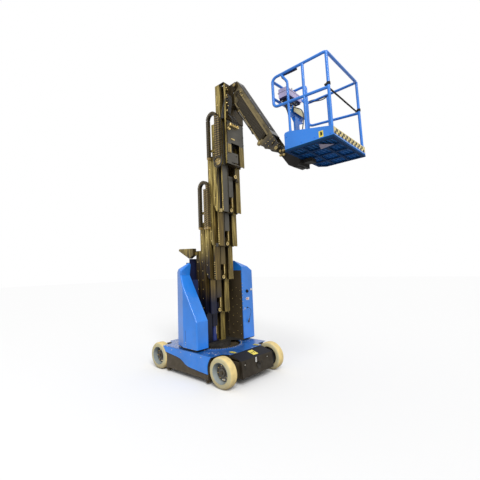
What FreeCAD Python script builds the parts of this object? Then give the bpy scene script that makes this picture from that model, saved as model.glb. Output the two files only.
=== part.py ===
import FreeCAD, Part
import os
from collections import namedtuple
from math import atan2, cos, degrees, hypot, pi, radians, sin, tan

# Articulating mast boom lift. Millimetres, +Z up, ground at z = 0, slew axis through the origin.
# +X points to the jib and basket end, -Y is the left side of the machine, +Y the right side.

V = FreeCAD.Vector

# Fits and clearances
SEAT = 0.3             # between two pieces of one body
PIN_FIT = 0.5          # round a pin or spindle, on the radius
BEARING = 0.4          # round the slew drum
GUIDE = 0.5            # guide pads of the mast against the flange they run on
RUN = 6.0              # between a moving piece and its neighbour

# Wheels and base
WHEEL_R = 225.0
WHEEL_W = 150.0
WHEELBASE = 1500.0
BASE_W = 1380.0
RIM_R = 150.0
DISH = 58.0            # depth of the rim's disc behind the outer face
SPINDLE_R = 25.0
KINGPIN_BACK = 52.0    # kingpin behind the disc of the rim
CORE_HALF = 400.0
CORE_BOTTOM = 110.0
CORE_TOP = 340.0
SILL_BOTTOM = 75.0
DECK_TOP = 430.0
DECK_T = 8.0
SKIRT_T = 10.0
FOOT_L = 40.0
TIE_R = 13.0           # tie-down eyes through the feet
TIE_Z = 56.0
ARCH_FRONT = 260.0     # radius of the open arch of a steered wheel
ARCH_REAR = 237.0
WELL_R = 450.0         # round opening of the deck over the slew ring
DECK_OVER = 30.0       # the deck stops short of the axle by this much
END_REACH = 175.0      # fold of an end cover beyond its axle

# Turret
SLEW_R = 420.0
DRUM_R = 285.0
TURRET_Z = 450.0
TURRET_T = 16.0
COVER_BOTTOM = 470.0
COVER_IN = 440.0
LEFT_OUT = 690.0
LEFT_FRONT = 280.0
RIGHT_OUT = 760.0
RIGHT_FRONT = 320.0
COVER_R = 22.0         # rounding of the covers' outer edges
COVER_WALL = 6.0
COVER_TOP = 1885.0
EAVES = 1695.0
REAR_EAVES = 1590.0
BULKHEAD_TOP = 1860.0

# Mast
MAST_HALF = 235.0
MAST_DEPTH = 115.0
MAST_PITCH = 120.0
MAST_X0 = -60.0
SHEET = 8.0
WEB_Y = 160.0
THROAT = 110.0         # half opening between the front flanges of a section
MAST_LEN = 1600.0
TONGUE_Y = 88.0
TONGUE_T = 12.0
TONGUE_REACH = 60.0
FIRST_FOOT = 970.0
RISE = 580.0           # each section stands out of the one behind it by this much
TOP_LEN = 1710.0
SECTION_FEET = (TURRET_Z + TURRET_T + SEAT,) + tuple(FIRST_FOOT + RISE * i for i in range(5))
TOP_RAILS = SECTION_FEET[-1] + 240     # lower end of the top section's rails
MAST_TOP = SECTION_FEET[-1] + TOP_LEN
MAST_FACE = MAST_X0 + 5 * MAST_PITCH + MAST_DEPTH
CHEEK_T = 21.0         # cheeks that reach back beside the section behind
CHEEK_REACH = 90.0
PLATE_LOW = 270.0      # cross plate over a section's foot
PLATE_HIGH = 640.0
CYL_R = 45.0
CYL_ROD_R = 25.0

# Jib
JIB_PIVOT = V(MAST_FACE + 135, 0, MAST_TOP - 70)
KNUCKLE = JIB_PIVOT + V(755, 0, -1375)
JIB_HALF = 100.0
JIB_OVER = 68.0        # top face over the pivot line
JIB_UNDER = 186.0      # lower edges under it
JIB_BACK = 45.0
JIB_WALL = 8.0
RAM_FOOT = JIB_PIVOT + V(-78, 0, -330)
RAM_EYE = JIB_PIVOT + V(445, 0, -1200)

# Basket
BASKET_REAR = KNUCKLE.x + 393
BASKET_FRONT = BASKET_REAR + 660
BASKET_HALF = 528.0
BASKET_Z = KNUCKLE.z - 288
FLOOR_H = 33.0
RAIL_TOP = BASKET_Z + 1138
RAIL_MID = BASKET_Z + 660
MID_REAR = RAIL_MID + 45
RAIL_R = 20.0
POST_R = 19.0
LOOP_REAR = BASKET_REAR - 150
KICK_HIGH = BASKET_Z + 273
KICK_LOW = BASKET_Z + 145

os.makedirs("parts", exist_ok=True)


def box(x0, x1, y0, y1, z0, z1):
    return Part.makeBox(x1 - x0, y1 - y0, z1 - z0, V(x0, y0, z0))


def prism(points, axis, low, high):
    """Polygon in the plane across the axis, extruded from low to high along it."""
    place = {"x": lambda a, b: V(low, a, b), "y": lambda a, b: V(a, low, b), "z": lambda a, b: V(a, b, low)}[axis]
    way = {"x": V(1, 0, 0), "y": V(0, 1, 0), "z": V(0, 0, 1)}[axis]
    ring = [place(a, b) for a, b in points]
    return Part.Face(Part.makePolygon(ring + ring[:1])).extrude(way * (high - low))


def disc(axis, centre, low, high, radius):
    """Cylinder along an axis; centre gives the other two coordinates in order."""
    a, b = centre
    base = {"x": V(low, a, b), "y": V(a, low, b), "z": V(a, b, low)}[axis]
    way = {"x": V(1, 0, 0), "y": V(0, 1, 0), "z": V(0, 0, 1)}[axis]
    return Part.makeCylinder(radius, high - low, base, way)


def rod(start, end, radius):
    return Part.makeCylinder(radius, (end - start).Length, start, end - start)


def union(shapes):
    whole = shapes[0].fuse(list(shapes[1:])) if len(shapes) > 1 else shapes[0]
    return whole.removeSplitter()


def mirror_y(shape):
    return shape.mirror(V(0, 0, 0), V(0, 1, 0))


def stadium(axis, start, end, low, high, radius):
    """Round-ended bar between two points of the plane across the axis."""
    (a0, b0), (a1, b1) = start, end
    length = hypot(a1 - a0, b1 - b0)
    na, nb = -(b1 - b0) / length * radius, (a1 - a0) / length * radius
    bar = prism([(a0 + na, b0 + nb), (a1 + na, b1 + nb), (a1 - na, b1 - nb), (a0 - na, b0 - nb)], axis, low, high)
    return union([bar, disc(axis, start, low, high, radius), disc(axis, end, low, high, radius)])


def bent(points, bends):
    """Wire through the points; bends gives the radius at each corner in turn."""
    edges = []
    here = points[0]
    for before, corner, after, bend in zip(points, points[1:], points[2:], bends):
        into = (corner - before).normalize()
        out = (after - corner).normalize()
        half = into.getAngle(out) / 2
        cut = bend * sin(half) / cos(half)
        first = corner - into * cut
        last = corner + out * cut
        middle = corner + (out - into).normalize() * (bend / cos(half) - bend)
        edges += [Part.makeLine(here, first), Part.Arc(first, middle, last).toShape()]
        here = last
    edges.append(Part.makeLine(here, points[-1]))
    return Part.Wire(edges)


def tube(points, radius, bends):
    """Round bar along a path with bends."""
    points = [V(*p) for p in points]
    path = bent(points, bends)
    section = Part.Face(Part.Wire(Part.makeCircle(radius, points[0], points[1] - points[0])))
    return path.makePipe(section)


def save(name, shape):
    shape.exportStep("parts/" + name + ".step")


FACE = BASE_W / 2
INNER = FACE - WHEEL_W
DISC_Y = FACE - DISH
KINGPIN_Y = DISC_Y - KINGPIN_BACK
AXLE = WHEELBASE / 2

# Wheels: axle position along X, side of the machine, steered or not
Wheel = namedtuple("Wheel", "name x side steered")
WHEELS = (
    Wheel("front_left", AXLE, -1, True),
    Wheel("front_right", AXLE, 1, True),
    Wheel("rear_left", -AXLE, -1, False),
    Wheel("rear_right", -AXLE, 1, False),
)


def lathe_y(profile, x, side):
    """Turn a profile of (y, radius) points round the wheel's axle."""
    ring = [V(x, side * y, WHEEL_R + r) for y, r in profile]
    face = Part.Face(Part.makePolygon(ring + ring[:1]))
    return face.revolve(V(x, 0, WHEEL_R), V(0, 1, 0), 360)


def tyre(w):
    inner = RIM_R + SEAT
    return lathe_y([
        (INNER, inner), (FACE, inner), (FACE, WHEEL_R - 34), (FACE - 7, WHEEL_R - 13),
        (FACE - 24, WHEEL_R), (INNER + 24, WHEEL_R), (INNER + 7, WHEEL_R - 13), (INNER, WHEEL_R - 34),
    ], w.x, w.side)


def rim(w):
    hole = SPINDLE_R + PIN_FIT
    return lathe_y([
        (INNER + 6, RIM_R), (FACE - 4, RIM_R), (FACE - 4, RIM_R - 8), (DISC_Y + 14, RIM_R - 18),
        (DISC_Y + 6, 70), (DISC_Y + 30, 62), (DISC_Y + 30, hole), (DISC_Y - 16, hole),
        (DISC_Y - 16, 62), (DISC_Y - 6, 70), (DISC_Y - 6, RIM_R - 14), (INNER + 6, RIM_R - 10),
    ], w.x, w.side)


def knuckle(w):
    """Steering knuckle: kingpin, carrier block and the spindle of its wheel."""
    s = w.side
    parts = [
        disc("z", (w.x, s * KINGPIN_Y), WHEEL_R - 108, WHEEL_R + 108, 17),
        disc("z", (w.x, s * KINGPIN_Y), WHEEL_R - 80, WHEEL_R + 80, KINGPIN_BACK - 22),
        disc("y", (w.x, WHEEL_R), *sorted((s * KINGPIN_Y, s * (DISC_Y - 22))), 52),
        disc("y", (w.x, WHEEL_R), *sorted((s * KINGPIN_Y, s * (DISC_Y + 34))), SPINDLE_R),
        box(w.x - 96, w.x - 20, *sorted((s * (KINGPIN_Y - 22), s * (KINGPIN_Y + 8))), WHEEL_R - 14, WHEEL_R + 14),
    ]
    return union(parts)


for wheel in WHEELS:
    save("tyre_" + wheel.name, tyre(wheel))
    save("rim_" + wheel.name, rim(wheel))
    if wheel.steered:
        save("knuckle_" + wheel.name.split("_")[1], knuckle(wheel))


# Base frame with sills between the wheels, wheel carriers and feet
def arch(x, radius):
    return disc("y", (x, WHEEL_R), -FACE - 50, FACE + 50, radius)


SILL_REAR = -AXLE + ARCH_REAR
SILL_FRONT = AXLE - ARCH_FRONT
SILL_OUT = FACE - SKIRT_T - 4
frame_top = DECK_TOP - DECK_T - SEAT
core = box(-AXLE - 130, AXLE + 130, -CORE_HALF, CORE_HALF, CORE_BOTTOM, CORE_TOP)
core = core.cut(box(-300, 300, -250, 250, CORE_BOTTOM - 1, CORE_BOTTOM + 60))
sill_plan = [
    (SILL_REAR, SILL_BOTTOM), (SILL_FRONT, SILL_BOTTOM), (SILL_FRONT + 60, frame_top), (SILL_REAR - 60, frame_top),
]
frame_parts = [core]
for side in (-1, 1):
    low, high = sorted((side * (CORE_HALF - 5), side * SILL_OUT))
    sill = prism(sill_plan, "y", low, high)
    sill = sill.cut(arch(AXLE, ARCH_FRONT)).cut(arch(-AXLE, ARCH_REAR))
    sill = sill.cut(disc("z", (0, 0), CORE_TOP, frame_top + 1, WELL_R))
    frame_parts.append(sill)
    for x in (SILL_REAR + 2, SILL_FRONT - 42):
        foot = box(x, x + FOOT_L, *sorted((side * (SILL_OUT - 116), side * SILL_OUT)), 30, SILL_BOTTOM + 20)
        frame_parts.append(foot.cut(disc("y", (x + FOOT_L / 2, TIE_Z), -700, 700, TIE_R)))
for end in (-1, 1):
    # seat of the deck over each axle
    frame_parts.append(box(*sorted((end * (AXLE - 250), end * (AXLE - 50))), -CORE_HALF + 10, CORE_HALF - 10,
                           CORE_TOP - 5, frame_top).cut(disc("z", (0, 0), CORE_TOP, frame_top + 1, WELL_R)))
for wheel in WHEELS:
    s = wheel.side
    if wheel.steered:
        # yoke arms over and under the knuckle
        for z in (WHEEL_R + 86, WHEEL_R - 106):
            arm = box(wheel.x - 32, wheel.x + 32, *sorted((s * (CORE_HALF - 5), s * KINGPIN_Y)), z, z + 20)
            arm = union([arm, disc("z", (wheel.x, s * KINGPIN_Y), z, z + 20, 32)])
            frame_parts.append(arm.cut(disc("z", (wheel.x, s * KINGPIN_Y), z - 1, z + 21, 17 + PIN_FIT)))
    else:
        frame_parts.append(disc("y", (wheel.x, WHEEL_R), *sorted((s * (CORE_HALF - 5), s * (DISC_Y - 30))), 92))
        frame_parts.append(disc("y", (wheel.x, WHEEL_R), *sorted((s * (DISC_Y - 60), s * (DISC_Y + 34))), SPINDLE_R))
save("chassis_frame", union(frame_parts))

# Deck plate, an octagon with a round well and a curved step along the well's front
end = AXLE - DECK_OVER
right_half = [(AXLE - 152, FACE), (AXLE - 148, CORE_HALF + 62), (end - 4, CORE_HALF), (end - 4, 0), (-end - 50, 0),
              (-end - 50, CORE_HALF), (-AXLE + 165, CORE_HALF + 100), (-AXLE + 175, FACE)]
deck = prism(right_half, "z", DECK_TOP - DECK_T, DECK_TOP)
deck = union([deck, mirror_y(deck)])
step = disc("z", (0, 0), DECK_TOP - 1, DECK_TOP + 7, WELL_R + 62)
step = step.common(box(150, WELL_R + 70, -FACE + 60, FACE - 60, DECK_TOP - 2, DECK_TOP + 10))
deck = union([deck, step])
deck = deck.cut(disc("z", (0, 0), DECK_TOP - 50, DECK_TOP + 10, WELL_R))
save("deck_plate", deck)

# Blue side skirts with the S-shaped lower edge
skirt_top = DECK_TOP - DECK_T - SEAT
SKIRT_EDGE = ((-AXLE + 238, 326), (-235, 297), (-150, 284), (-90, 258), (-20, 215), (40, 194), (120, 184),
              (333, 168), (AXLE - 190, 156), (AXLE - 130, 180), (AXLE - 130, skirt_top), (-AXLE + 150, skirt_top),
              (-AXLE + 150, 330))
for name, side in (("left", -1), ("right", 1)):
    low, high = sorted((side * (FACE - SKIRT_T), side * FACE))
    skirt = prism(SKIRT_EDGE, "y", low, high)
    skirt = skirt.cut(arch(AXLE, ARCH_FRONT)).cut(arch(-AXLE, ARCH_REAR))
    skirt = skirt.cut(box(AXLE - 155, AXLE, -FACE - 50, FACE + 50, 0, 500))
    skirt = union([skirt, box(-AXLE + 270, AXLE - 280, *sorted((side * (SILL_OUT + SEAT), side * (FACE - SKIRT_T + 1))), 340, 380)])
    save("side_skirt_" + name, skirt)

# Folded end covers between the wheels
fold = AXLE + END_REACH
plate = AXLE + 130
SCREWS = ((-330, 175), (-300, 320), (300, 320), (330, 175))
for name, way in (("front", 1), ("rear", -1)):
    sheet = prism([(AXLE - 28, 420), (fold, 362), (fold + 22, 122), (fold + 5, 112), (plate + 4, 112),
                   (plate + 4, 119), (fold + 2, 119), (fold + 14, 126), (fold - 7, 356), (AXLE - 28, 412)],
                  "y", -CORE_HALF, CORE_HALF)
    gable = [(AXLE - 28, 418), (fold - 2, 360), (fold + 18, 124), (fold + 4, 115), (plate + 4, 115), (plate + 4, 370),
             (AXLE - 28, 370)]
    shell = union([sheet, prism(gable, "y", -CORE_HALF, -CORE_HALF + 6), prism(gable, "y", CORE_HALF - 6, CORE_HALF)])
    bosses = [disc("x", (y, z), plate + SEAT, fold + 11, 14) for y, z in SCREWS]
    socket = prism([(36 * cos(a), 243 + 46 * sin(a)) for a in [pi / 3 * i for i in range(6)]], "x", fold - 25, fold + 35)
    cover = union([shell] + bosses).cut(socket)
    if way < 0:
        cover = cover.mirror(V(0, 0, 0), V(1, 0, 0))
    save("end_cover_" + name, cover)

# Slew ring with its bolts
ring = disc("z", (0, 0), CORE_TOP + SEAT, 405, SLEW_R).cut(disc("z", (0, 0), CORE_TOP, 406, DRUM_R + BEARING))
bolts = [disc("z", (392 * cos(a), 392 * sin(a)), 400, 415, 9) for a in [pi / 9 * i for i in range(18)]]
save("slew_ring", union([ring] + bolts))

# Turret frame: bearing drum, base plate and the upright plates that carry the covers
plan = ((150, 300), (RIGHT_FRONT - 20, COVER_IN - 10), (RIGHT_FRONT - 20, RIGHT_OUT - 10), (-60, RIGHT_OUT - 10),
        (-330, 560), (-590, 270), (-590, -270), (-330, -560), (-60, -LEFT_OUT + 10), (LEFT_FRONT - 20, -LEFT_OUT + 10),
        (LEFT_FRONT - 20, -COVER_IN + 10), (150, -300))
base = prism(plan, "z", TURRET_Z, TURRET_Z + TURRET_T)
drum = disc("z", (0, 0), CORE_TOP + RUN, TURRET_Z + TURRET_T, DRUM_R)
save("turret_base", union([drum, base]))

# Left cover with a slanted front, right cover with an upright one; both roofs fall outward and rearward
def shrink(points, wall):
    """Offset a closed polygon inward."""
    wire = Part.makePolygon([V(a, b, 0) for a, b in points] + [V(*points[0], 0)])
    inner = wire.makeOffset2D(-wall)
    return [(v.Point.x, v.Point.y) for v in inner.OrderedVertexes]


def cover_body(profile, front, out, wall):
    """Side profile (x, z) crossed with the plan and the falling roof; wall insets every face."""
    plan = ((front, COVER_IN), (front, out), (-50, out), (-290, out - 90), (-420, COVER_IN))
    plan = shrink(plan, wall) if wall else plan
    block = prism(plan, "z", COVER_BOTTOM + wall, COVER_TOP + 20)
    shape = prism(shrink(profile, wall) if wall else profile, "y", COVER_IN - 60, out + 60)
    roof = prism([(COVER_IN - 60, 300), (out + 60, 300), (out + 60, EAVES - 46 - wall), (out, EAVES - wall),
                  (COVER_IN, COVER_TOP - wall), (COVER_IN - 60, COVER_TOP + 44 - wall)], "x", -700, 700)
    return block.common(shape).common(roof)


REAR = ((-100, COVER_TOP), (-420, REAR_EAVES), (-500, REAR_EAVES - 75))
LEFT_SIDE = ((-500, 460), (LEFT_FRONT, 460), (LEFT_FRONT, 900), (-140, 1640)) + REAR
RIGHT_SIDE = ((-500, 460), (RIGHT_FRONT, 460), (RIGHT_FRONT, 1765), (150, COVER_TOP)) + REAR
Cover = namedtuple("Cover", "name profile front out")
for c in (Cover("left", LEFT_SIDE, LEFT_FRONT, LEFT_OUT), Cover("right", RIGHT_SIDE, RIGHT_FRONT, RIGHT_OUT)):
    body = cover_body(c.profile, c.front, c.out, 0)
    outer = [e for e in body.Edges if e.BoundBox.YMax > COVER_IN + 5 and e.BoundBox.ZMax > COVER_BOTTOM + 5]
    body = body.makeFillet(COVER_R, outer)
    hollow = cover_body(c.profile, c.front, c.out, COVER_WALL + 6)
    hollow = union([hollow, hollow.translated(V(0, 0, -40))])
    shell = body.cut(hollow)
    save("cover_" + c.name, mirror_y(shell) if c.name == "left" else shell)

# Charging lead that hangs from the right cover's front: gland, cable of straight runs and arcs, plug
CABLE_R = 3.0
gland_y, gland_z, gland_l = 565.0, 1012.0, 14.0
lead_x = RIGHT_FRONT + SEAT + gland_l
gland = union([disc("x", (gland_y, gland_z), RIGHT_FRONT + SEAT, RIGHT_FRONT + SEAT + 5, 13),
               disc("x", (gland_y, gland_z), RIGHT_FRONT + SEAT, lead_x, 8)])
save("plug_gland", gland)

# Route of the lead from the gland: forward, to the side and down
LEAD = ((0, 0, 0), (24, 0, 0), (43, 8, -18), (48, 22, -46), (42, 36, -84), (30, 37, -124), (20, 24, -160),
        (15, 17, -192))
route = [V(lead_x + dx, gland_y + dy, gland_z + dz) for dx, dy, dz in LEAD]


def arc_radii(points):
    """Largest tangent arcs: 0.45 of the shorter run over the tangent of half the turn."""
    radii = []
    for before, here, after in zip(points, points[1:], points[2:]):
        turn = (here - before).getAngle(after - here)
        radii.append(0.45 * min((here - before).Length, (after - here).Length) / tan(turn / 2))
    return radii


bends = arc_radii(route)
print("lead's arcs", [round(r) for r in bends], "length", round(sum((b - a).Length for a, b in zip(route, route[1:]))))
save("plug_cable", tube(route, CABLE_R, bends))
tip = (route[-1] - route[-2]).normalize()
plug = union([rod(route[-1], route[-1] + tip * 30, 9), rod(route[-1] + tip * 22, route[-1] + tip * 74, 17)])
save("plug", plug)

# Dark inner panels in front of the covers' inner walls
for name, side, front in (("left", -1, 60), ("right", 1, RIGHT_FRONT - 12)):
    y0, y1 = sorted((side * (COVER_IN - SEAT), side * (COVER_IN - 14)))
    panel = box(-220, front, y0, y1, TURRET_Z + TURRET_T + SEAT, 1700 if side > 0 else 1560)
    ribs = [box(x, x + 22, *sorted((side * (COVER_IN - 13), side * (COVER_IN - 34))), 520, 1480) for x in (-190, -20)]
    save("inner_panel_" + name, union([panel] + ribs))

# Rear power pack and counterweight between the covers, and the bulkhead in front of it
TAIL = ((-250, 425), (-436, 425), (-600, 280), (-600, -280), (-436, -425), (-250, -425))
turret_floor = TURRET_Z + TURRET_T + SEAT
tail = prism(TAIL, "z", turret_floor, 1420)
tail = tail.cut(prism([(-640, 1290), (-510, 1430), (-640, 1430)], "y", -500, 500))
vents = [box(-604, -590, -180, 180, z, z + 14) for z in range(900, 1180, 40)]
tail = tail.cut(Part.makeCompound(vents))
save("power_pack", tail)
bulkhead = union([box(-250 + SEAT, -238, -420, 420, turret_floor, BULKHEAD_TOP),
                  box(-250 + SEAT, -238, -345, -90, BULKHEAD_TOP - 1, BULKHEAD_TOP + 70)]
                 + [box(-239, -222, y - 10, y + 10, turret_floor, BULKHEAD_TOP - 20) for y in (-290, 290)])
save("rear_bulkhead", bulkhead)


# Mast sections, all of one profile, each one pitch further forward
def mast_section(index):
    x = MAST_X0 + MAST_PITCH * index
    foot = SECTION_FEET[index]
    last = index == len(SECTION_FEET) - 1
    rails_foot = TOP_RAILS if last else foot
    top = MAST_TOP if last else foot + MAST_LEN
    parts = []
    back = box(x, x + SHEET, -MAST_HALF, MAST_HALF, rails_foot, top)
    for z, height, width in ((rails_foot + 165, 100, 130), (rails_foot + 420, 110, 90)):
        back = back.cut(box(x - 1, x + SHEET + 1, -width / 2, width / 2, z, z + height))
    back = back.cut(stadium("x", (0, rails_foot + 620), (0, rails_foot + 980), x - 1, x + SHEET + 1, 22))
    parts.append(back)
    for side in (-1, 1):
        def span(a, b):
            return sorted((side * a, side * b))
        front = x + MAST_DEPTH
        parts.append(box(x, front, *span(WEB_Y, WEB_Y + SHEET), rails_foot, top))
        parts.append(box(front - SHEET, front, *span(THROAT, MAST_HALF), rails_foot, top))
        for a in (x, front - 26):
            parts.append(box(a, a + 26, *span(MAST_HALF - 6, MAST_HALF), rails_foot, top))
        cheek_foot = rails_foot + 430 if last else rails_foot + 20
        cheek_in = MAST_HALF + RUN
        cheek = box(x - CHEEK_REACH, x + 15, *span(cheek_in, cheek_in + CHEEK_T), cheek_foot, top)
        nose = prism([(x - CHEEK_REACH - 1, cheek_foot - 1), (x - CHEEK_REACH + 60, cheek_foot - 1),
                      (x - CHEEK_REACH - 1, cheek_foot + 120)], "y", -400, 400)
        parts.append(cheek.cut(nose))
        parts.append(box(x, x + 15, *span(MAST_HALF - 7, cheek_in + 1), cheek_foot, top))
        if index:
            tongue_top = top - 60
            parts.append(box(x - TONGUE_REACH, x + 1, *span(TONGUE_Y, TONGUE_Y + TONGUE_T), foot, tongue_top))
            parts.append(box(x - TONGUE_REACH - TONGUE_T, x - TONGUE_REACH,
                             *span(TONGUE_Y, WEB_Y - 10), foot, tongue_top))
            # guide pads behind the front flange of the section below
            for z in (foot + 10, foot + 480):
                parts.append(box(x - TONGUE_REACH - 2, x - (MAST_PITCH - MAST_DEPTH) - SHEET - GUIDE,
                                 *span(THROAT + 6, WEB_Y - 12), z, z + 90))
    front = x + MAST_DEPTH
    if last:
        # nothing runs in front of the top section, so its plates bridge the throat
        parts.append(box(front - SHEET, front, -MAST_HALF, MAST_HALF, TOP_RAILS + 390, TOP_RAILS + 800))
        parts.append(box(front - SHEET, front, -MAST_HALF, 60, TOP_RAILS + 40, TOP_RAILS + 215))
        parts.append(box(x, front, -THROAT, THROAT, TOP_RAILS, TOP_RAILS + 20))
    else:
        # cross plate between the tongues of the next section, on a web from the back
        plate = box(front - SHEET, front, -TONGUE_Y + 8, 0, rails_foot + PLATE_LOW, rails_foot + PLATE_HIGH)
        slot = stadium("x", (-40, rails_foot + PLATE_LOW + 190), (-40, rails_foot + PLATE_HIGH + 100),
                       front - SHEET - 1, front + 1, 18)
        parts.append(plate.cut(slot))
        parts.append(box(x, front, -TONGUE_Y + 8, -TONGUE_Y + 16, rails_foot + PLATE_LOW, rails_foot + PLATE_HIGH))
        # foot plate, a full one under the fixed section
        half = TONGUE_Y - 8 if index else MAST_HALF
        parts.append(box(x, x + 60 if index else front, -half, half, rails_foot, rails_foot + 16))
    if index:
        # chain sheave between the tongues, and the shoe under it in front of the section behind
        sheave = (TONGUE_Y - 23, foot + 45)
        parts.append(disc("x", sheave, x - 10, x + 30, 36))
        parts.append(disc("x", sheave, x - 10, x + 40, 11))
        parts.append(box(x - 8, x + 24, TONGUE_Y - 4, TONGUE_Y + TONGUE_T + 4, foot - 22, foot + 20))
        parts.append(box(x + 1, x + 24, TONGUE_Y - 4, MAST_HALF - 67, foot - 22, foot + 20))
    if index == 1:
        # crosshead over the lift cylinder
        parts.append(box(MAST_X0 + 20, x + 2, -70, 70, top - 24, top))
        centre = MAST_X0 + MAST_DEPTH / 2 - 2
        parts.append(disc("z", (centre, 0), foot + 280, top - 10, CYL_ROD_R))
    return union(parts)


for index in range(len(SECTION_FEET)):
    save("mast_section_%d" % index, mast_section(index))

# Lift cylinder standing in the fixed section
cx = MAST_X0 + MAST_DEPTH / 2 - 2
barrel_foot = SECTION_FEET[0] + 16 + SEAT
barrel_top = SECTION_FEET[0] + MAST_LEN - 4
barrel = disc("z", (cx, 0), barrel_foot, barrel_top, CYL_R)
barrel = union([barrel, disc("z", (cx, 0), barrel_top - 62, barrel_top, CYL_R + 1)])
barrel = barrel.cut(disc("z", (cx, 0), barrel_foot + 80, barrel_top + 8, CYL_ROD_R + PIN_FIT))
save("mast_cylinder", barrel)

# Jib head at the top of the mast: base frame, cheeks and the foot of the jib cylinder
px, pz = JIB_PIVOT.x, JIB_PIVOT.z
fz_open = RAM_FOOT.z + 70
head_foot = TOP_RAILS + 800 + SEAT
head = box(MAST_FACE + SEAT, MAST_FACE + 12, -MAST_HALF, MAST_HALF, head_foot, MAST_TOP - 20)
head = head.cut(box(MAST_FACE - 5, MAST_FACE + 20, -THROAT, THROAT, fz_open, MAST_TOP))
cheeks = []
for side in (-1, 1):
    y0, y1 = sorted((side * (JIB_HALF + RUN), side * (JIB_HALF + RUN + 12)))
    cheek = prism([(MAST_FACE + 2, pz - 190), (MAST_FACE + 2, MAST_TOP - 20), (px + 10, MAST_TOP - 10), (px + 52, pz + 40),
                   (px + 56, pz - 30), (px + 20, pz - 62)], "y", y0, y1)
    boss = disc("y", (px, pz), *sorted((side * (JIB_HALF + RUN - 1), side * (JIB_HALF + RUN + 30))), 44)
    bore = disc("y", (px, pz), y0 - 40, y1 + 40, 22 + PIN_FIT)
    cheeks.append(union([cheek, boss]).cut(bore))
fx, fz = RAM_FOOT.x, RAM_FOOT.z
lugs = []
for side in (-1, 1):
    y0, y1 = sorted((side * 32, side * 44))
    lug = stadium("y", (fx, fz), (MAST_FACE + 20, fz), y0, y1, 26).cut(box(MAST_FACE - 55, MAST_FACE + 1, -60, 60, fz - 100, fz + 100))
    lugs.append(lug)
pin = disc("y", (fx, fz), -44, 44, 12)
save("jib_head", union([head] + cheeks + lugs + [pin]))

# Jib: hollow box with long round-ended openings in its sides. Built along X, then turned down.
jib_vec = KNUCKLE - JIB_PIVOT
JIB_LEN = jib_vec.Length
JIB_DIP = degrees(atan2(-jib_vec.z, jib_vec.x))
box_end = JIB_LEN - 240


def lay_jib(shape):
    shape.rotate(V(0, 0, 0), V(0, 1, 0), JIB_DIP)
    shape.translate(JIB_PIVOT)
    return shape


shell = box(-JIB_BACK, box_end, -JIB_HALF, JIB_HALF, -JIB_UNDER, JIB_OVER)
shell = shell.cut(box(-JIB_BACK - 1, box_end + 1, -JIB_HALF + JIB_WALL, JIB_HALF - JIB_WALL,
                      -JIB_UNDER - 1, JIB_OVER - JIB_WALL))
slot = stadium("y", (170, -42), (box_end - 70, -64), -JIB_HALF - 5, JIB_HALF + 5, 48)
shell = shell.cut(slot)
shell = shell.cut(prism([(-JIB_BACK - 5, -JIB_UNDER - 5), (295, -JIB_UNDER - 5), (20, -62), (-JIB_BACK - 5, -30)],
                        "y", -200, 200))
jib_parts = [shell]
tray = box(120, box_end - 20, -JIB_HALF + JIB_WALL - 1, JIB_HALF - JIB_WALL + 1, -118, -110)
jib_parts.append(tray)
eye = RAM_EYE - JIB_PIVOT
a = radians(JIB_DIP)
ex, ez = eye.x * cos(a) - eye.z * sin(a), eye.x * sin(a) + eye.z * cos(a)
# flanges folded inward along the lower edges, open where the pin of the cylinder's eye passes
for side in (-1, 1):
    for low, high in ((300, ex - 55), (ex + 30, box_end)):
        jib_parts.append(box(low, high, *sorted((side * 62, side * (JIB_HALF - 1))), -JIB_UNDER, -JIB_UNDER + JIB_WALL))
for side in (-1, 1):
    y0, y1 = sorted((side * (JIB_HALF - JIB_WALL), side * JIB_HALF))
    end = prism([(box_end - 60, -JIB_UNDER + 6), (box_end - 60, JIB_OVER - 6), (JIB_LEN - 60, 62),
                 (JIB_LEN + 20, 50), (JIB_LEN + 52, 10), (JIB_LEN + 36, -44), (JIB_LEN - 30, -70),
                 (JIB_LEN - 150, -JIB_UNDER + 30)], "y", y0, y1)
    jib_parts.append(end)
    jib_parts.append(disc("y", (JIB_LEN, 0), *sorted((side * (JIB_HALF - 12), side * (JIB_HALF + 5))), 40))
# pin of the head and the lobes at the cylinder's eye, whose own pin ends clear of them
jib_parts.append(disc("y", (0, 0), -JIB_HALF - RUN - 34, JIB_HALF + RUN + 34, 22))
for side in (-1, 1):
    jib_parts.append(disc("y", (ex, ez), *sorted((side * (JIB_HALF - JIB_WALL), side * (JIB_HALF + 4))), 44))
    jib_parts.append(disc("y", (ex, ez), *sorted((side * JIB_HALF, side * (JIB_HALF + 9))), 14))
jib = union(jib_parts)
jib = jib.cut(disc("y", (JIB_LEN, 0), -200, 200, 20 + PIN_FIT))
save("jib_beam", lay_jib(jib))

# Hose chain in the jib's open side, resting on the tray
links = [box(150, box_end - 100, -82, -48, -110 + SEAT, -66)]
for u in range(155, int(box_end) - 110, 30):
    links.append(box(u, u + 18, -86, -44, -110 + SEAT, -60))
save("jib_hose_chain", lay_jib(union(links)))

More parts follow.
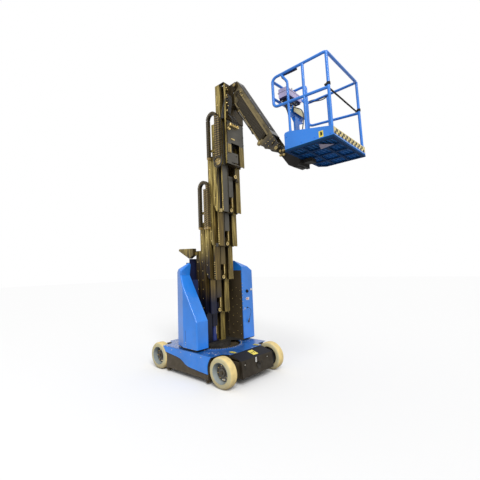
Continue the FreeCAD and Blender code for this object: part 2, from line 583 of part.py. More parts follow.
# Jib cylinder: barrel on the mast head, rod toward the jib
line = (RAM_EYE - RAM_FOOT).normalize()
reach = (RAM_EYE - RAM_FOOT).Length
bore_end = RAM_FOOT + line * 700
barrel = rod(RAM_FOOT + line * 40, bore_end, 34)
barrel = union([barrel, rod(bore_end - line * 40, bore_end + line * 6, 38), rod(RAM_FOOT + line * 12, RAM_FOOT + line * 60, 20),
                disc("y", (fx, fz), -26, 26, 24)])
barrel = barrel.cut(rod(RAM_FOOT + line * 60, bore_end + line * 20, 20 + PIN_FIT))
barrel = barrel.cut(disc("y", (fx, fz), -60, 60, 12 + PIN_FIT))
save("jib_cylinder_barrel", barrel)
piston = rod(RAM_FOOT + line * 120, RAM_EYE - line * 8, 20)
pin_end = JIB_HALF - JIB_WALL - RUN
piston = union([piston, disc("y", (RAM_EYE.x, RAM_EYE.z), -24, 24, 24),
                disc("y", (RAM_EYE.x, RAM_EYE.z), -pin_end, pin_end, 12)])
save("jib_cylinder_rod", piston)

# Basket carrier: lug in the knuckle, post and the beam under the basket
kx, kz = KNUCKLE.x, KNUCKLE.z
BEAM_TOP = BASKET_Z - SEAT
carrier = union([
    disc("y", (kx, kz), -84, 84, 46),
    prism([(kx - 36, kz - 20), (kx - 20, kz + 40), (kx + 50, kz + 34), (kx + 185, kz - 105), (kx + 355, kz - 135),
           (kx + 355, kz - 385), (kx + 305, kz - 390), (kx + 177, kz - 315), (kx + 50, kz - 115)], "y", -84, 84),
    box(BASKET_REAR - 48, BASKET_REAR - SEAT, -150, 150, kz - 375, kz - 85),
    box(BASKET_REAR - 10, BASKET_REAR + 142, -70, 70, BEAM_TOP - 52, BEAM_TOP),
    disc("y", (kx, kz), -JIB_HALF - 14, JIB_HALF + 14, 20),
])
save("basket_carrier", carrier)

# Basket floor with its frame and cross bars
outline = [(BASKET_REAR, -BASKET_HALF), (BASKET_FRONT, -BASKET_HALF), (BASKET_FRONT, BASKET_HALF),
           (BASKET_REAR + 90, BASKET_HALF), (BASKET_REAR, BASKET_HALF - 90)]
floor = prism(outline, "z", BASKET_Z, BASKET_Z + FLOOR_H)
inner = prism([(BASKET_REAR + 40, -BASKET_HALF + 40), (BASKET_FRONT - 40, -BASKET_HALF + 40),
               (BASKET_FRONT - 40, BASKET_HALF - 40), (BASKET_REAR + 105, BASKET_HALF - 40),
               (BASKET_REAR + 40, BASKET_HALF - 105)], "z", BASKET_Z - 1, BASKET_Z + FLOOR_H - 5)
bars = [box(BASKET_REAR + 30, BASKET_FRONT - 30, y - 18, y + 18, BASKET_Z, BASKET_Z + FLOOR_H - 4)
        for y in (-260, 0, 260)]
bars += [box(x - 15, x + 15, -BASKET_HALF + 30, BASKET_HALF - 30, BASKET_Z, BASKET_Z + FLOOR_H - 4) 
         for x in (BASKET_REAR + 222, BASKET_REAR + 442)]
floor = union([floor.cut(inner)] + bars)
save("basket_floor", floor)

# Kick plates round the floor
k = 6.0
side_plate = [(BASKET_REAR, BASKET_Z + FLOOR_H + SEAT), (BASKET_FRONT, BASKET_Z + FLOOR_H + SEAT),
              (BASKET_FRONT, KICK_LOW), (BASKET_REAR + 60, KICK_HIGH), (BASKET_REAR + 12, KICK_HIGH - 6),
              (BASKET_REAR, KICK_HIGH - 30)]
kicks = [prism(side_plate, "y", -BASKET_HALF, -BASKET_HALF + k)]
right_plate = [(max(x, BASKET_REAR + 86), z) for x, z in side_plate[:4]]
kicks.append(prism(right_plate, "y", BASKET_HALF - k, BASKET_HALF))
kicks.append(box(BASKET_FRONT - k, BASKET_FRONT, -BASKET_HALF, BASKET_HALF, BASKET_Z + FLOOR_H + SEAT, KICK_LOW - 20))
kicks.append(box(BASKET_REAR, BASKET_REAR + k, -BASKET_HALF, BASKET_HALF - 90, BASKET_Z + FLOOR_H + SEAT, KICK_HIGH - 30))
corner = prism([(BASKET_REAR, BASKET_HALF - 92), (BASKET_REAR + 92, BASKET_HALF), (BASKET_REAR + 98, BASKET_HALF - k),
                (BASKET_REAR + k, BASKET_HALF - 98)], "z", BASKET_Z + FLOOR_H + SEAT, KICK_HIGH - 30)
kicks.append(corner)
save("basket_kick_plates", union(kicks))

# Guard rails: the near side's loop runs on round the front and the far side, and turns back along the rear
ry = BASKET_HALF - k - RAIL_R - SEAT
foot_z = BASKET_Z + FLOOR_H + SEAT
post_x = BASKET_FRONT - k - POST_R - SEAT
rear_post = BASKET_REAR + 80
far_rear = LOOP_REAR + 10
ring = tube([(post_x, -ry, RAIL_MID), (LOOP_REAR, -ry, MID_REAR), (LOOP_REAR, -ry, RAIL_TOP), (post_x, -ry, RAIL_TOP),
             (post_x, ry, RAIL_TOP), (far_rear, ry, RAIL_TOP - 10), (LOOP_REAR, -ry, RAIL_TOP - 45)],
            RAIL_R, (70, 70, 45, 45, 70))
far_mid = tube([(post_x, ry, RAIL_MID), (far_rear, ry, MID_REAR + 30), (far_rear, ry, RAIL_TOP - 10)], RAIL_R, (80,))
cross = disc("y", (LOOP_REAR, MID_REAR + 133), -ry, ry, POST_R)
rails = [ring, far_mid, cross]
for y, x in ((-ry, BASKET_REAR + 312), (ry, BASKET_REAR + 202), (-ry, post_x), (ry, post_x)):
    rails.append(disc("z", (x, y), foot_z, RAIL_TOP, POST_R))
rails.append(tube([(rear_post, -ry, foot_z), (rear_post, -ry, RAIL_TOP - 150), (rear_post - 90, -ry, RAIL_TOP)],
                  POST_R - 2, (60,)))
# frame of the controls: a rail from the rear that turns down to the floor, with a brace
frame_x, frame_y, frame_z = BASKET_REAR + 112, -30.0, RAIL_TOP - 30
rails.append(tube([(LOOP_REAR, frame_y, frame_z), (frame_x, frame_y, frame_z), (frame_x, frame_y, foot_z)],
                  POST_R, (45,)))
rails.append(rod(V(frame_x - 190, frame_y, frame_z - 10), V(frame_x, frame_y, frame_z - 320), 12))
save("basket_rails", union(rails))

# Console: a leg with a gusset carries the sloping panel
bx, panel_z = BASKET_REAR, BASKET_Z + 563
console = union([
    box(bx + 20, bx + 50, -290, -180, foot_z, panel_z + 8),
    prism([(-365, panel_z), (15, panel_z), (-180, panel_z - 80), (-290, panel_z - 70)], "x", bx + 20, bx + 27),
    prism([(bx + 8, panel_z - 4), (bx + 18, panel_z - 8), (bx + 72, panel_z + 134), (bx + 62, panel_z + 138)],
          "y", -370, 20 - POST_R - RUN - 32),
])
save("console_bracket", console)

# Control box between the loop and the frame's rail, with its feet against the cross rail
case_z = RAIL_TOP - 276
case_x = LOOP_REAR + POST_R + 12
case_y = frame_y - POST_R - SEAT
control = prism([(case_x, case_z), (case_x + 160, case_z), (case_x + 160, case_z + 100), (case_x + 130, case_z + 130),
                 (case_x, case_z + 135)], "y", case_y - 360, case_y)
feet = [box(LOOP_REAR + POST_R + SEAT, case_x + 30, y, y + 30, case_z - 20, case_z + 20) for y in (case_y - 320, case_y - 70)]
save("control_box", union([control] + feet))

# Entry bar between the two front posts, sliding up between the mid and the top rail
SLEEVE_H = 34.0
bar_z = RAIL_MID + RAIL_R + RUN + SLEEVE_H / 2
bar = disc("y", (post_x - 38, bar_z), -ry, ry, 11)
sleeves = []
for y in (-ry, ry):
    sleeves.append(disc("z", (post_x, y), bar_z - SLEEVE_H / 2, bar_z + SLEEVE_H / 2, POST_R + 6))
    sleeves.append(box(post_x - 48, post_x, y - 10, y + 10, bar_z - 11, bar_z + 11))
bar = union([bar] + sleeves)
for y in (-ry, ry):
    bar = bar.cut(disc("z", (post_x, y), bar_z - 60, bar_z + 60, POST_R + PIN_FIT))
save("entry_bar", bar)


# Energy chains: loops with the bend on top, at the left of the mast
CHEEK_OUT = MAST_HALF + RUN + CHEEK_T
CHAIN_OUT = CHEEK_OUT + 8 + 65
def energy_chain(x_back, x_front, z_back, z_front, z_top):
    y0, y1 = -CHAIN_OUT, -CHAIN_OUT + 65
    t = 27.0
    mid = (x_back + x_front) / 2
    r = (x_front - x_back) / 2
    arc = disc("y", (mid, z_top - r - t), y0, y1, r + t).cut(disc("y", (mid, z_top - r - t), y0 - 1, y1 + 1, r - t))
    arc = arc.cut(box(mid - 400, mid + 400, y0 - 2, y1 + 2, z_top - r - t - 400, z_top - r - t))
    strands = [box(x_back - t, x_back + t, y0, y1, z_back, z_top - r - t),
               box(x_front - t, x_front + t, y0, y1, z_front, z_top - r - t)]
    return union([arc] + strands)


# Energy chains: strands measured from the back of their section, heights from its foot
Chain = namedtuple("Chain", "name section back front low_back low_front top")
CHAINS = (
    Chain("upper", 4, -130, 70, 980, 850, 1810),
    Chain("lower", 2, -150, 50, 920, 920, 1760),
)
for chain in CHAINS:
    x0 = MAST_X0 + MAST_PITCH * chain.section
    foot = SECTION_FEET[chain.section]
    c = Chain(chain.name, chain.section, x0 + chain.back, x0 + chain.front, *(foot + z for z in chain[4:]))
    loop = energy_chain(c.back, c.front, c.low_back, c.low_front, c.top)
    arm = box(c.back, c.front, -CHEEK_OUT - 16, -CHEEK_OUT - RUN, c.low_front + 240, c.low_front + 290)
    pad = box(x0 - CHEEK_REACH + 5, x0 + 10, -CHEEK_OUT - 10, -CHEEK_OUT - SEAT, c.low_front + 230, c.low_front + 300)
    save("energy_chain_" + c.name, union([loop, arm, pad]))

# Hose guide behind the mast's left side, with its hoses going down
gz = SECTION_FEET[0] + MAST_LEN
gx = MAST_X0 - 80
guide = prism([(gx - 400, gz + 24), (gx - 380, gz + 59), (gx - 210, gz + 52), (gx, gz + 46), (gx, gz - 76),
               (gx - 110, gz - 131)], "y", -350, -270)
guide = guide.cut(prism([(gx - 360, gz + 74), (gx - 200, gz + 74), (gx - 20, gz + 74), (gx - 20, gz - 56),
                         (gx - 110, gz - 111)], "y", -342, -278))
plate = box(gx - 10, MAST_X0 - 20, -290, -CHEEK_OUT - SEAT, gz - 76, gz - 16)
save("hose_guide", union([guide, plate]))
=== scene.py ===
# %% [markdown]
# # Dressing an articulating boom lift
# The CAD frame gives every plate, tube and joint at its true size. This lesson adds what makes it look real:
# a finish for each painted, rubber or plastic surface, and the pieces a plain solid lacks, such as links in the
# hose chains, the dish of the wheels, hoses, bolts and stickers.

# %% Open the frame
from math import cos, pi, radians, sin

import bmesh
import bpy
from mathutils import Matrix, Vector


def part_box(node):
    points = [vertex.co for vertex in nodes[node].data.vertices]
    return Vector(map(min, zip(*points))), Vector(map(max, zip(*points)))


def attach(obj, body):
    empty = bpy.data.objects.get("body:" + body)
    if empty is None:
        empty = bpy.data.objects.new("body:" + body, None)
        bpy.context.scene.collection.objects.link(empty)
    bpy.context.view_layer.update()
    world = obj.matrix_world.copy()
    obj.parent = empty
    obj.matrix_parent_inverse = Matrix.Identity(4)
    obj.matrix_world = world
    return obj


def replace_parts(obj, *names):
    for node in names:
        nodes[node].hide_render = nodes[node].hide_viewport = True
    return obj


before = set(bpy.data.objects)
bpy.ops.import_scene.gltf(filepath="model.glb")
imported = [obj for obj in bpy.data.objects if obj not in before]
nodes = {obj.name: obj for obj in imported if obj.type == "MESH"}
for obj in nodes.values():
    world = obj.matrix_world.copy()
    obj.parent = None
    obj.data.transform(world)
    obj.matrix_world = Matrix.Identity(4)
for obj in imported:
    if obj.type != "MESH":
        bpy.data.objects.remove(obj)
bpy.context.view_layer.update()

# %% [markdown]
# ## Camera
# The photo was taken by someone standing in front of the machine's left front corner, a little below the top of
# the covers, with a wide lens tilted up. A pinhole camera has the same few numbers: where it stands, where it
# looks, its focal length and how far the frame was shifted when the picture was cropped.

# %% Camera at the photo's place
FRAME_PX = 480
SENSOR_MM = 36
FOCAL_PX = 313.3
EYE = Vector((4.0418, -4.1606, 1.7421))
HEADING, PITCH, ROLL = 2.3656, 0.1261, -0.0273
OPTIC_CENTRE = (203.96, 229.19)

forward = Vector((cos(HEADING) * cos(PITCH), sin(HEADING) * cos(PITCH), sin(PITCH)))
right = Vector((sin(HEADING), -cos(HEADING), 0))
up = right.cross(forward)
right, up = right * cos(ROLL) + up * sin(ROLL), up * cos(ROLL) - right * sin(ROLL)

camera = bpy.data.objects.new("camera", bpy.data.cameras.new("camera"))
bpy.context.scene.collection.objects.link(camera)
turn = Matrix((right, up, -forward)).transposed().to_4x4()
camera.matrix_world = Matrix.Translation(EYE) @ turn
camera.data.sensor_width = SENSOR_MM
camera.data.lens = FOCAL_PX / FRAME_PX * SENSOR_MM
camera.data.shift_x = 0.5 - OPTIC_CENTRE[0] / FRAME_PX
camera.data.shift_y = OPTIC_CENTRE[1] / FRAME_PX - 0.5
bpy.context.scene.camera = camera

# %% [markdown]
# ## Floor and light
# A studio shot on white: a pale floor that still takes the machine's shadow, and a world that is plain white to
# the camera, in reflections and through see-through parts, while it lights the object more gently than that.
# The Light Path node tells the two kinds of ray apart. The floor itself looks nearly white but throws back less
# light than a white floor would, or the undersides would glow.

# %% Studio floor, lamps and world
def drop_selection():
    bpy.ops.object.select_all(action="DESELECT")


drop_selection()
bpy.ops.mesh.primitive_plane_add(size=90, location=(0, 0, 0))
floor = bpy.context.object
floor.name = "floor"
ground = bpy.data.materials.new("studio floor")
ground.use_nodes = True
tree = ground.node_tree
ray = tree.nodes.new("ShaderNodeLightPath")
pale = tree.nodes.new("ShaderNodeMix")
pale.data_type = "RGBA"
pale.inputs[6].default_value, pale.inputs[7].default_value = (0.94, 0.94, 0.94, 1), (0.38, 0.38, 0.38, 1)
tree.links.new(ray.outputs["Is Diffuse Ray"], pale.inputs[0])
matt = tree.nodes["Principled BSDF"].inputs
tree.links.new(pale.outputs[2], matt["Base Color"])
matt["Roughness"].default_value, matt["Specular IOR Level"].default_value = 1.0, 0.0
floor.data.materials.append(ground)

bpy.ops.object.light_add(type="SUN", location=(5.5, -4.0, 8.0))
sun = bpy.context.object
sun.name = "key"
sun.data.energy, sun.data.angle = 2.25, radians(30)
bpy.ops.object.light_add(type="AREA", location=(1.5, -8.0, 3.5))
fill = bpy.context.object
fill.name = "fill"
fill.data.size, fill.data.energy = 5.0, 60
for light in (sun, fill):
    light.rotation_euler = (Vector((0.4, 0, 2.2)) - light.location).to_track_quat("-Z", "Y").to_euler()

bpy.context.scene.view_settings.view_transform = "Standard"
world = bpy.data.worlds.new("studio")
bpy.context.scene.world = world
world.use_nodes = True
sky = world.node_tree
soft = sky.nodes["Background"]
soft.inputs["Color"].default_value = (1, 1, 1, 1)
soft.inputs["Strength"].default_value = 0.56
seen = sky.nodes.new("ShaderNodeBackground")
seen.inputs["Color"].default_value = (1, 1, 1, 1)
path = sky.nodes.new("ShaderNodeLightPath")
last = path.outputs["Is Camera Ray"]
for kind in ("Is Glossy Ray", "Is Transmission Ray"):
    either = sky.nodes.new("ShaderNodeMath")
    either.operation = "MAXIMUM"
    sky.links.new(last, either.inputs[0])
    sky.links.new(path.outputs[kind], either.inputs[1])
    last = either.outputs[0]
choose = sky.nodes.new("ShaderNodeMixShader")
sky.links.new(last, choose.inputs[0])
sky.links.new(soft.outputs[0], choose.inputs[1])
sky.links.new(seen.outputs[0], choose.inputs[2])
sky.links.new(choose.outputs[0], sky.nodes["World Output"].inputs["Surface"])
print("lamps", sun.name, fill.name)

# %% [markdown]
# ## Shader maths
# A finish is a little sum: paint colour, plus dust low down, plus a scratch mask. Nodes are wired by hand in the
# editor; in a script one small class lets us write the sum as a sum.

# %% A wire with arithmetic, and a finish that owns the nodes
class Wire:
    """One output of a shader node. Signs between wires add Math nodes."""

    def __init__(self, finish, socket):
        self.finish, self.socket = finish, socket

    def maths(self, operation, *values):
        return self.finish.node("ShaderNodeMath", {"operation": operation}, dict(enumerate(values)))

    def __add__(self, other):
        return self.maths("ADD", self, other)

    def __sub__(self, other):
        return self.maths("SUBTRACT", self, other)

    def __mul__(self, other):
        return self.maths("MULTIPLY", self, other)

    def __gt__(self, other):
        return self.maths("GREATER_THAN", self, other)

    def __lt__(self, other):
        return self.maths("LESS_THAN", self, other)


class Finish:
    """A named material whose nodes are added by node()."""

    def __init__(self, name, roughness=0.5, metallic=0.0, coat=0.0, shine=0.5):
        self.material = bpy.data.materials.new(name)
        self.material.use_nodes = True
        self.tree = self.material.node_tree
        self.shader = self.tree.nodes["Principled BSDF"]
        self.set("Roughness", roughness)
        self.set("Metallic", metallic)
        self.set("Coat Weight", coat)
        self.set("Specular IOR Level", shine)
        self.place = self.node("ShaderNodeTexCoord", {}, {}, "Object")
        facing = self.node("ShaderNodeTexCoord", {}, {}, "Normal")
        split = self.node("ShaderNodeSeparateXYZ", {}, {0: self.place}, None)
        self.x, self.y, self.z = (Wire(self, s) for s in split.outputs)
        split = self.node("ShaderNodeSeparateXYZ", {}, {0: facing}, None)
        self.nx, self.ny, self.nz = (Wire(self, s) for s in split.outputs)

    def node(self, kind, settings, inputs, output=0):
        """Add a node: settings first, then its sockets; gives back the wanted output as a Wire."""
        n = self.tree.nodes.new(kind)
        for key, value in settings.items():
            if key == "stops":
                ramp = n.color_ramp
                while len(ramp.elements) < len(value):
                    ramp.elements.new(0.5)
                for stop, (at, shade) in zip(ramp.elements, value):
                    stop.position, stop.color = at, (*shade, 1)
            else:
                setattr(n, key, value)
        for key, value in inputs.items():
            if isinstance(value, Wire):
                self.tree.links.new(value.socket, n.inputs[key])
            else:
                n.inputs[key].default_value = (*value, 1) if isinstance(value, tuple) and len(value) == 3 \
                    and n.inputs[key].type == "RGBA" else value
        return n if output is None else Wire(self, n.outputs[output])

    def set(self, socket, value):
        """Give a socket of the surface shader a number, a colour or a wire."""
        if isinstance(value, Wire):
            self.tree.links.new(value.socket, self.shader.inputs[socket])
        else:
            self.shader.inputs[socket].default_value = (*value, 1) if isinstance(value, tuple) else value

    def noise(self, scale, detail=3.0, stretch=(1, 1, 1)):
        moved = self.node("ShaderNodeMapping", {}, {"Vector": self.place, "Scale": stretch})
        return self.node("ShaderNodeTexNoise", {}, {"Vector": moved, "Scale": scale, "Detail": detail})

    def mix(self, mask, first, second):
        return self.node("ShaderNodeMix", {"data_type": "RGBA"}, {0: mask, 6: first, 7: second}, 2)

    def between(self, value, low, high):
        return self.node("ShaderNodeMapRange", {}, {"Value": value, "From Min": low, "From Max": high})

    def blend(self, value, low, high, first, second):
        """A colour that goes from first to second while a value goes from low to high."""
        return self.mix(self.between(value, low, high), first, second)

    def bump(self, height, strength, distance):
        inputs = {"Height": height, "Strength": strength, "Distance": distance}
        self.set("Normal", self.node("ShaderNodeBump", {}, inputs, "Normal"))


def wear(finish, *names):
    """Give CAD nodes a finish."""
    for name in names:
        nodes[name].data.materials.clear()
        nodes[name].data.materials.append(finish.material)

# %% [markdown]
# ## Paint, bronze, rubber and steel
# Sprayed paint is never one flat tone: it has a faint orange peel, hand-wide patches of slightly different
# depth and a film of dust toward the ground. One recipe serves every painted panel, so the blues, blacks and
# greys stay related, and each call only changes the colour and how much dust it has caught.

# %% Sprayed paint
DUST_TOP, DUST_TONE = 0.9, (0.42, 0.38, 0.31)


def sprayed(name, colour, roughness=0.34, metallic=0.0, coat=0.3, dust=0.3, shine=0.5):
    """Paint of one colour under a film of dust that thickens toward the ground."""
    paint = Finish(name, roughness, metallic, coat, shine)
    patches = paint.noise(2.2, 4)
    light = tuple(min(1, c * 1.1 + 0.003) for c in colour)
    dark = tuple(c * 0.88 for c in colour)
    tone = paint.blend(patches, 0.35, 0.65, dark, light)
    low = paint.between(paint.z, DUST_TOP, 0.05)
    film = low * paint.between(paint.noise(9, 6), 0.42, 0.72) * dust
    paint.tone = paint.mix(film, tone, DUST_TONE)
    paint.set("Base Color", paint.tone)
    paint.set("Roughness", film * 0.4 + roughness + (patches - 0.5) * 0.12)
    paint.bump(paint.noise(420, 1), 0.10, 0.0005)
    return paint


def flat(name, colour, roughness=0.5, dust=0.0, shine=0.5):
    """The same without a clear coat: plastic, printed film or plain primer."""
    return sprayed(name, colour, roughness, coat=0.0, dust=dust, shine=shine)


blue = sprayed("azure paint", (0.012, 0.205, 0.74), dust=0.12)
deck_blue = sprayed("deck paint", (0.005, 0.100, 0.370), dust=0.12)
black = flat("black paint", (0.016, 0.014, 0.012), 0.7, dust=0.15, shine=0.2)
cover_black = flat("end cover black", (0.022, 0.016, 0.009), 0.6, dust=0.06, shine=0.2)
# painted shade: faces that look up are darkened to near black
cover_black.set("Base Color",
                cover_black.blend(cover_black.nz, 0.5, 0.8, cover_black.tone, (0.006, 0.006, 0.010)))
navy = flat("navy paint", (0.008, 0.011, 0.045), 0.6, dust=0.1, shine=0.25)
brown = flat("frame brown", (0.052, 0.037, 0.018), dust=0.08, shine=0.35)
hub_brown = sprayed("hub brown", (0.045, 0.034, 0.020), roughness=0.4, dust=0.2)
rim_grey = sprayed("rim grey", (0.27, 0.31, 0.31), roughness=0.42, dust=0.3)
# painted shade: deep in the dish the rim is darkened to near black
rim_grey.set("Base Color",
             rim_grey.blend(rim_grey.y * rim_grey.y, 0.37, 0.34, rim_grey.tone, (0.014, 0.011, 0.008)))
wear(blue, "side_skirt_left", "side_skirt_right", "cover_left", "cover_right", "power_pack",
     "basket_kick_plates", "basket_rails", "console_bracket")
wear(deck_blue, "deck_plate")
wear(cover_black, "end_cover_front", "end_cover_rear")
wear(black, "basket_carrier", "entry_bar", "turret_base")
wear(navy, "rear_bulkhead", "inner_panel_left")
wear(brown, "chassis_frame", "slew_ring", "knuckle_left", "knuckle_right", "inner_panel_right")
# chips down to the primer, only on the deck
PRIMER = (0.70, 0.72, 0.76)
chips, fields = deck_blue.noise(34, 4), deck_blue.noise(2.6, 2)
specks = deck_blue.between(chips, 0.60, 0.64) * deck_blue.between(fields, 0.52, 0.60)
deck_blue.set("Base Color", deck_blue.mix(specks, deck_blue.tone, PRIMER))
cylinder_blue = sprayed("cylinder blue", (0.012, 0.030, 0.180), roughness=0.35, dust=0.1)
print("paints", [m.name for m in bpy.data.materials if "paint" in m.name])

# %% [markdown]
# The mast is coated in a bronze lacquer with long vertical streaks, part run and worn lacquer and part painted
# highlight. Its left sides are painted bright gold as a painted highlight, with painted shade low down and between
# the covers; the recess between its flanges is nearly black, and the plates that bridge the section fronts are
# brown low down and grey high up. A face's own direction and place, read in object space, tell those apart
# without any picture.

# %% Bronze lacquer, with bands for the plates
def lacquer(name, bands=()):
    """Bronze with long streaks, partly painted highlight: outward left faces are painted bright gold, with painted
    shade low down and between the covers. bands: (colour, y from, y to, z from, z to) for faces that look forward.
    """
    coat = Finish(name, 0.42, 0.35, 0.05, 0.35)
    streaks = coat.noise(16, 5, (6, 6, 0.14))
    fine = coat.noise(60, 3, (6, 6, 0.10))
    blotches = coat.noise(3, 4)
    # the streak mask is both run and worn lacquer and painted highlight streaks
    wear_and_sheen = coat.between(streaks * 0.7 + fine * 0.3, 0.46, 0.62)
    # painted highlight: the streaks run from dark brown to bright gold
    gold = coat.mix(wear_and_sheen, (0.078, 0.052, 0.011), (0.84, 0.65, 0.20))
    # painted shade: below 2.25 m the gold darkens to near black
    shade = coat.between(coat.z, 2.25, 1.85)
    gold = coat.mix(shade, gold, coat.mix(wear_and_sheen, (0.010, 0.008, 0.012), (0.115, 0.076, 0.020)))
    deep = coat.mix(wear_and_sheen, (0.016, 0.010, 0.004), (0.075, 0.054, 0.020))
    # painted highlight: only outward left faces take the gold; the rest keep the dark brown
    side = coat.between(coat.ny * -1, 0.55, 0.9)
    outer = side * (coat.y < -0.21)
    tone = coat.mix(outer, deep, gold)
    front = coat.between(coat.nx, 0.75, 0.92)
    dull = coat.mix(wear_and_sheen, (0.020, 0.012, 0.003), (0.12, 0.082, 0.021))
    tone = coat.mix(front, tone, dull)
    cloudy = coat.between(blotches, 0.3, 0.7)
    colours = {"gold": coat.mix(wear_and_sheen, (0.078, 0.054, 0.012), (0.50, 0.37, 0.10)),
               "grey": coat.mix(cloudy, (0.078, 0.072, 0.058), (0.115, 0.107, 0.086)),
               "brown": coat.mix(cloudy, (0.088, 0.062, 0.021), (0.128, 0.092, 0.032)),
               "olive": coat.mix(wear_and_sheen, (0.078, 0.050, 0.012), (0.280, 0.195, 0.052))}
    for colour, y_from, y_to, z_from, z_to in bands:
        here = front * (coat.y > y_from) * (coat.y < y_to) * (coat.z > z_from) * (coat.z < z_to)
        tone = coat.mix(here, tone, colours[colour])
    # painted shade: between the covers the left half is darkened to a dark blue
    painted_shade_between_covers = coat.between(coat.z, 1.46, 1.16) * (coat.y < 0.06)
    tone = coat.mix(painted_shade_between_covers, tone, coat.mix(wear_and_sheen, (0.004, 0.005, 0.014), (0.016, 0.018, 0.052)))
    coat.set("Base Color", tone)
    coat.set("Roughness", streaks * 0.3 + 0.30)
    coat.bump(coat.noise(90, 3, (1, 1, 0.2)), 0.12, 0.0008)
    return coat


bronze = lacquer("mast bronze")
FAR = 9
ALL = (-FAR, FAR)
for i in range(5):
    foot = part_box(f"mast_section_{i}")[0][2] + 0.02
    section_coat = lacquer(f"section {i} bronze", (
        ("grey" if i == 4 else "olive", -FAR, -0.11, *ALL), ("gold", 0.105, FAR, *ALL),
        ("grey" if i > 2 else "brown", -0.085, 0.002, foot + 0.25, foot + 0.66)))
    wear(section_coat, f"mast_section_{i}")
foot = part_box("mast_section_5")[0][2]
top_coat = lacquer("top section bronze", (("grey", -0.2, 0.24, foot + 0.63, foot + 1.05),
                                         ("grey", -0.3, 0.062, foot + 0.2, foot + 0.63),
                                         ("gold", 0.105, 0.3, foot + 0.2, foot + 0.63)))
wear(top_coat, "mast_section_5")
head_coat = lacquer("head bronze")
wear(head_coat, "jib_head")
wear(bronze, "hose_guide", "jib_cylinder_barrel")
wear(cylinder_blue, "mast_cylinder")

# the top face of the jib looks along its own normal, turned down from straight up
jib_coat = Finish("jib bronze", 0.42, 0.3, 0.25)
JIB_PIVOT, KNUCKLE = Vector((0.790, 0, 4.930)), Vector((1.545, 0, 3.555))
JIB_RUN = Vector((0.755, 0, -1.375)).normalized()
JIB_UP = Vector((-JIB_RUN.z, 0, JIB_RUN.x))
grain = jib_coat.noise(6, 5)
upward = jib_coat.nx * JIB_UP.x + jib_coat.nz * JIB_UP.z
# painted highlight: the flanks are gold as painted reflection, the top face grey
gold = jib_coat.blend(grain, 0.40, 0.68, (0.056, 0.041, 0.014), (0.250, 0.190, 0.072))
grey = jib_coat.blend(grain, 0.35, 0.65, (0.085, 0.082, 0.078), (0.135, 0.130, 0.120))
along_jib = (jib_coat.x - JIB_PIVOT.x) * JIB_RUN.x + (jib_coat.z - JIB_PIVOT.z) * JIB_RUN.z
brown_end = jib_coat.blend(grain, 0.42, 0.62, (0.016, 0.011, 0.005), (0.085, 0.062, 0.026))
gold = jib_coat.blend(along_jib, 1.24, 1.34, gold, brown_end)
jib_coat.set("Base Color", jib_coat.blend(upward, 0.8, 0.95, gold, grey))
jib_coat.set("Roughness", grain * 0.3 + 0.3)
jib_coat.bump(jib_coat.noise(120, 3), 0.12, 0.0008)
wear(jib_coat, "jib_beam")

# %% Tyres, plastics and bright steel
tyre_rubber = Finish("cream rubber", 0.74)
smudge = tyre_rubber.noise(14, 5)
# sidewalls, told apart by the way a face looks, get a greyer cream than the tread
wall = tyre_rubber.between(tyre_rubber.ny * tyre_rubber.ny, 0.35, 0.8)
wall_and_tread = tyre_rubber.mix(wall, (0.80, 0.61, 0.26), (0.56, 0.51, 0.31))
scuffed = tyre_rubber.blend(smudge, 0.40, 0.85, wall_and_tread, (0.56, 0.45, 0.21))
ground_dust = tyre_rubber.between(tyre_rubber.z, 0.16, 0.0) * 0.55
tyre_rubber.set("Base Color", tyre_rubber.mix(ground_dust, scuffed, (0.30, 0.25, 0.17)))
tyre_rubber.bump(tyre_rubber.noise(160, 3), 0.25, 0.0012)
plastic = flat("black plastic", (0.016, 0.014, 0.012), dust=0.2)
plate_grey, plate_brown = (lacquer("plate " + tone, ((tone, *ALL, *ALL),)) for tone in ("grey", "brown"))
PLATE_COATS = [plate_brown] * 3 + [plate_grey] * 2
chain_plastic = sprayed("chain plastic", (0.034, 0.025, 0.010), roughness=0.42, coat=0.1, dust=0.0)
lavender = sprayed("case lavender", (0.60, 0.53, 0.76), roughness=0.45, coat=0.1, dust=0.0)
cream = flat("cream panel", (0.70, 0.62, 0.36))
white = flat("white label", (0.78, 0.78, 0.76), dust=0.15)
yellow = flat("yellow label", (0.84, 0.70, 0.10), dust=0.15)
red = sprayed("red plastic", (0.55, 0.02, 0.015), roughness=0.35, dust=0.0)
chrome = Finish("rod chrome", 0.16, 1.0)
chrome.set("Base Color", (0.62, 0.62, 0.62))
rib_brown = sprayed("chain rib brown", (0.120, 0.086, 0.034), roughness=0.4, coat=0.1, dust=0.0)
slate = flat("slate paint", (0.062, 0.060, 0.057), 0.6, shine=0.25)
mesh_navy = flat("mesh navy", (0.008, 0.130, 0.430), 0.7)
lavender_dark = flat("case seam", (0.20, 0.17, 0.27))
floor_blue = Finish("underside blue", 0.8, 0.0, 0.0, 0.12)
sheet_tone = floor_blue.mix(floor_blue.noise(5, 4), (0.004, 0.070, 0.250), (0.006, 0.100, 0.330))
sheet_tone = floor_blue.blend(floor_blue.y, -0.05, -0.30, sheet_tone, (0.006, 0.045, 0.110))
floor_blue.set("Base Color",
               floor_blue.blend(floor_blue.z, 3.279, 3.287, (0.003, 0.030, 0.100), sheet_tone))
floor_blue.bump(floor_blue.noise(200, 2), 0.1, 0.0006)
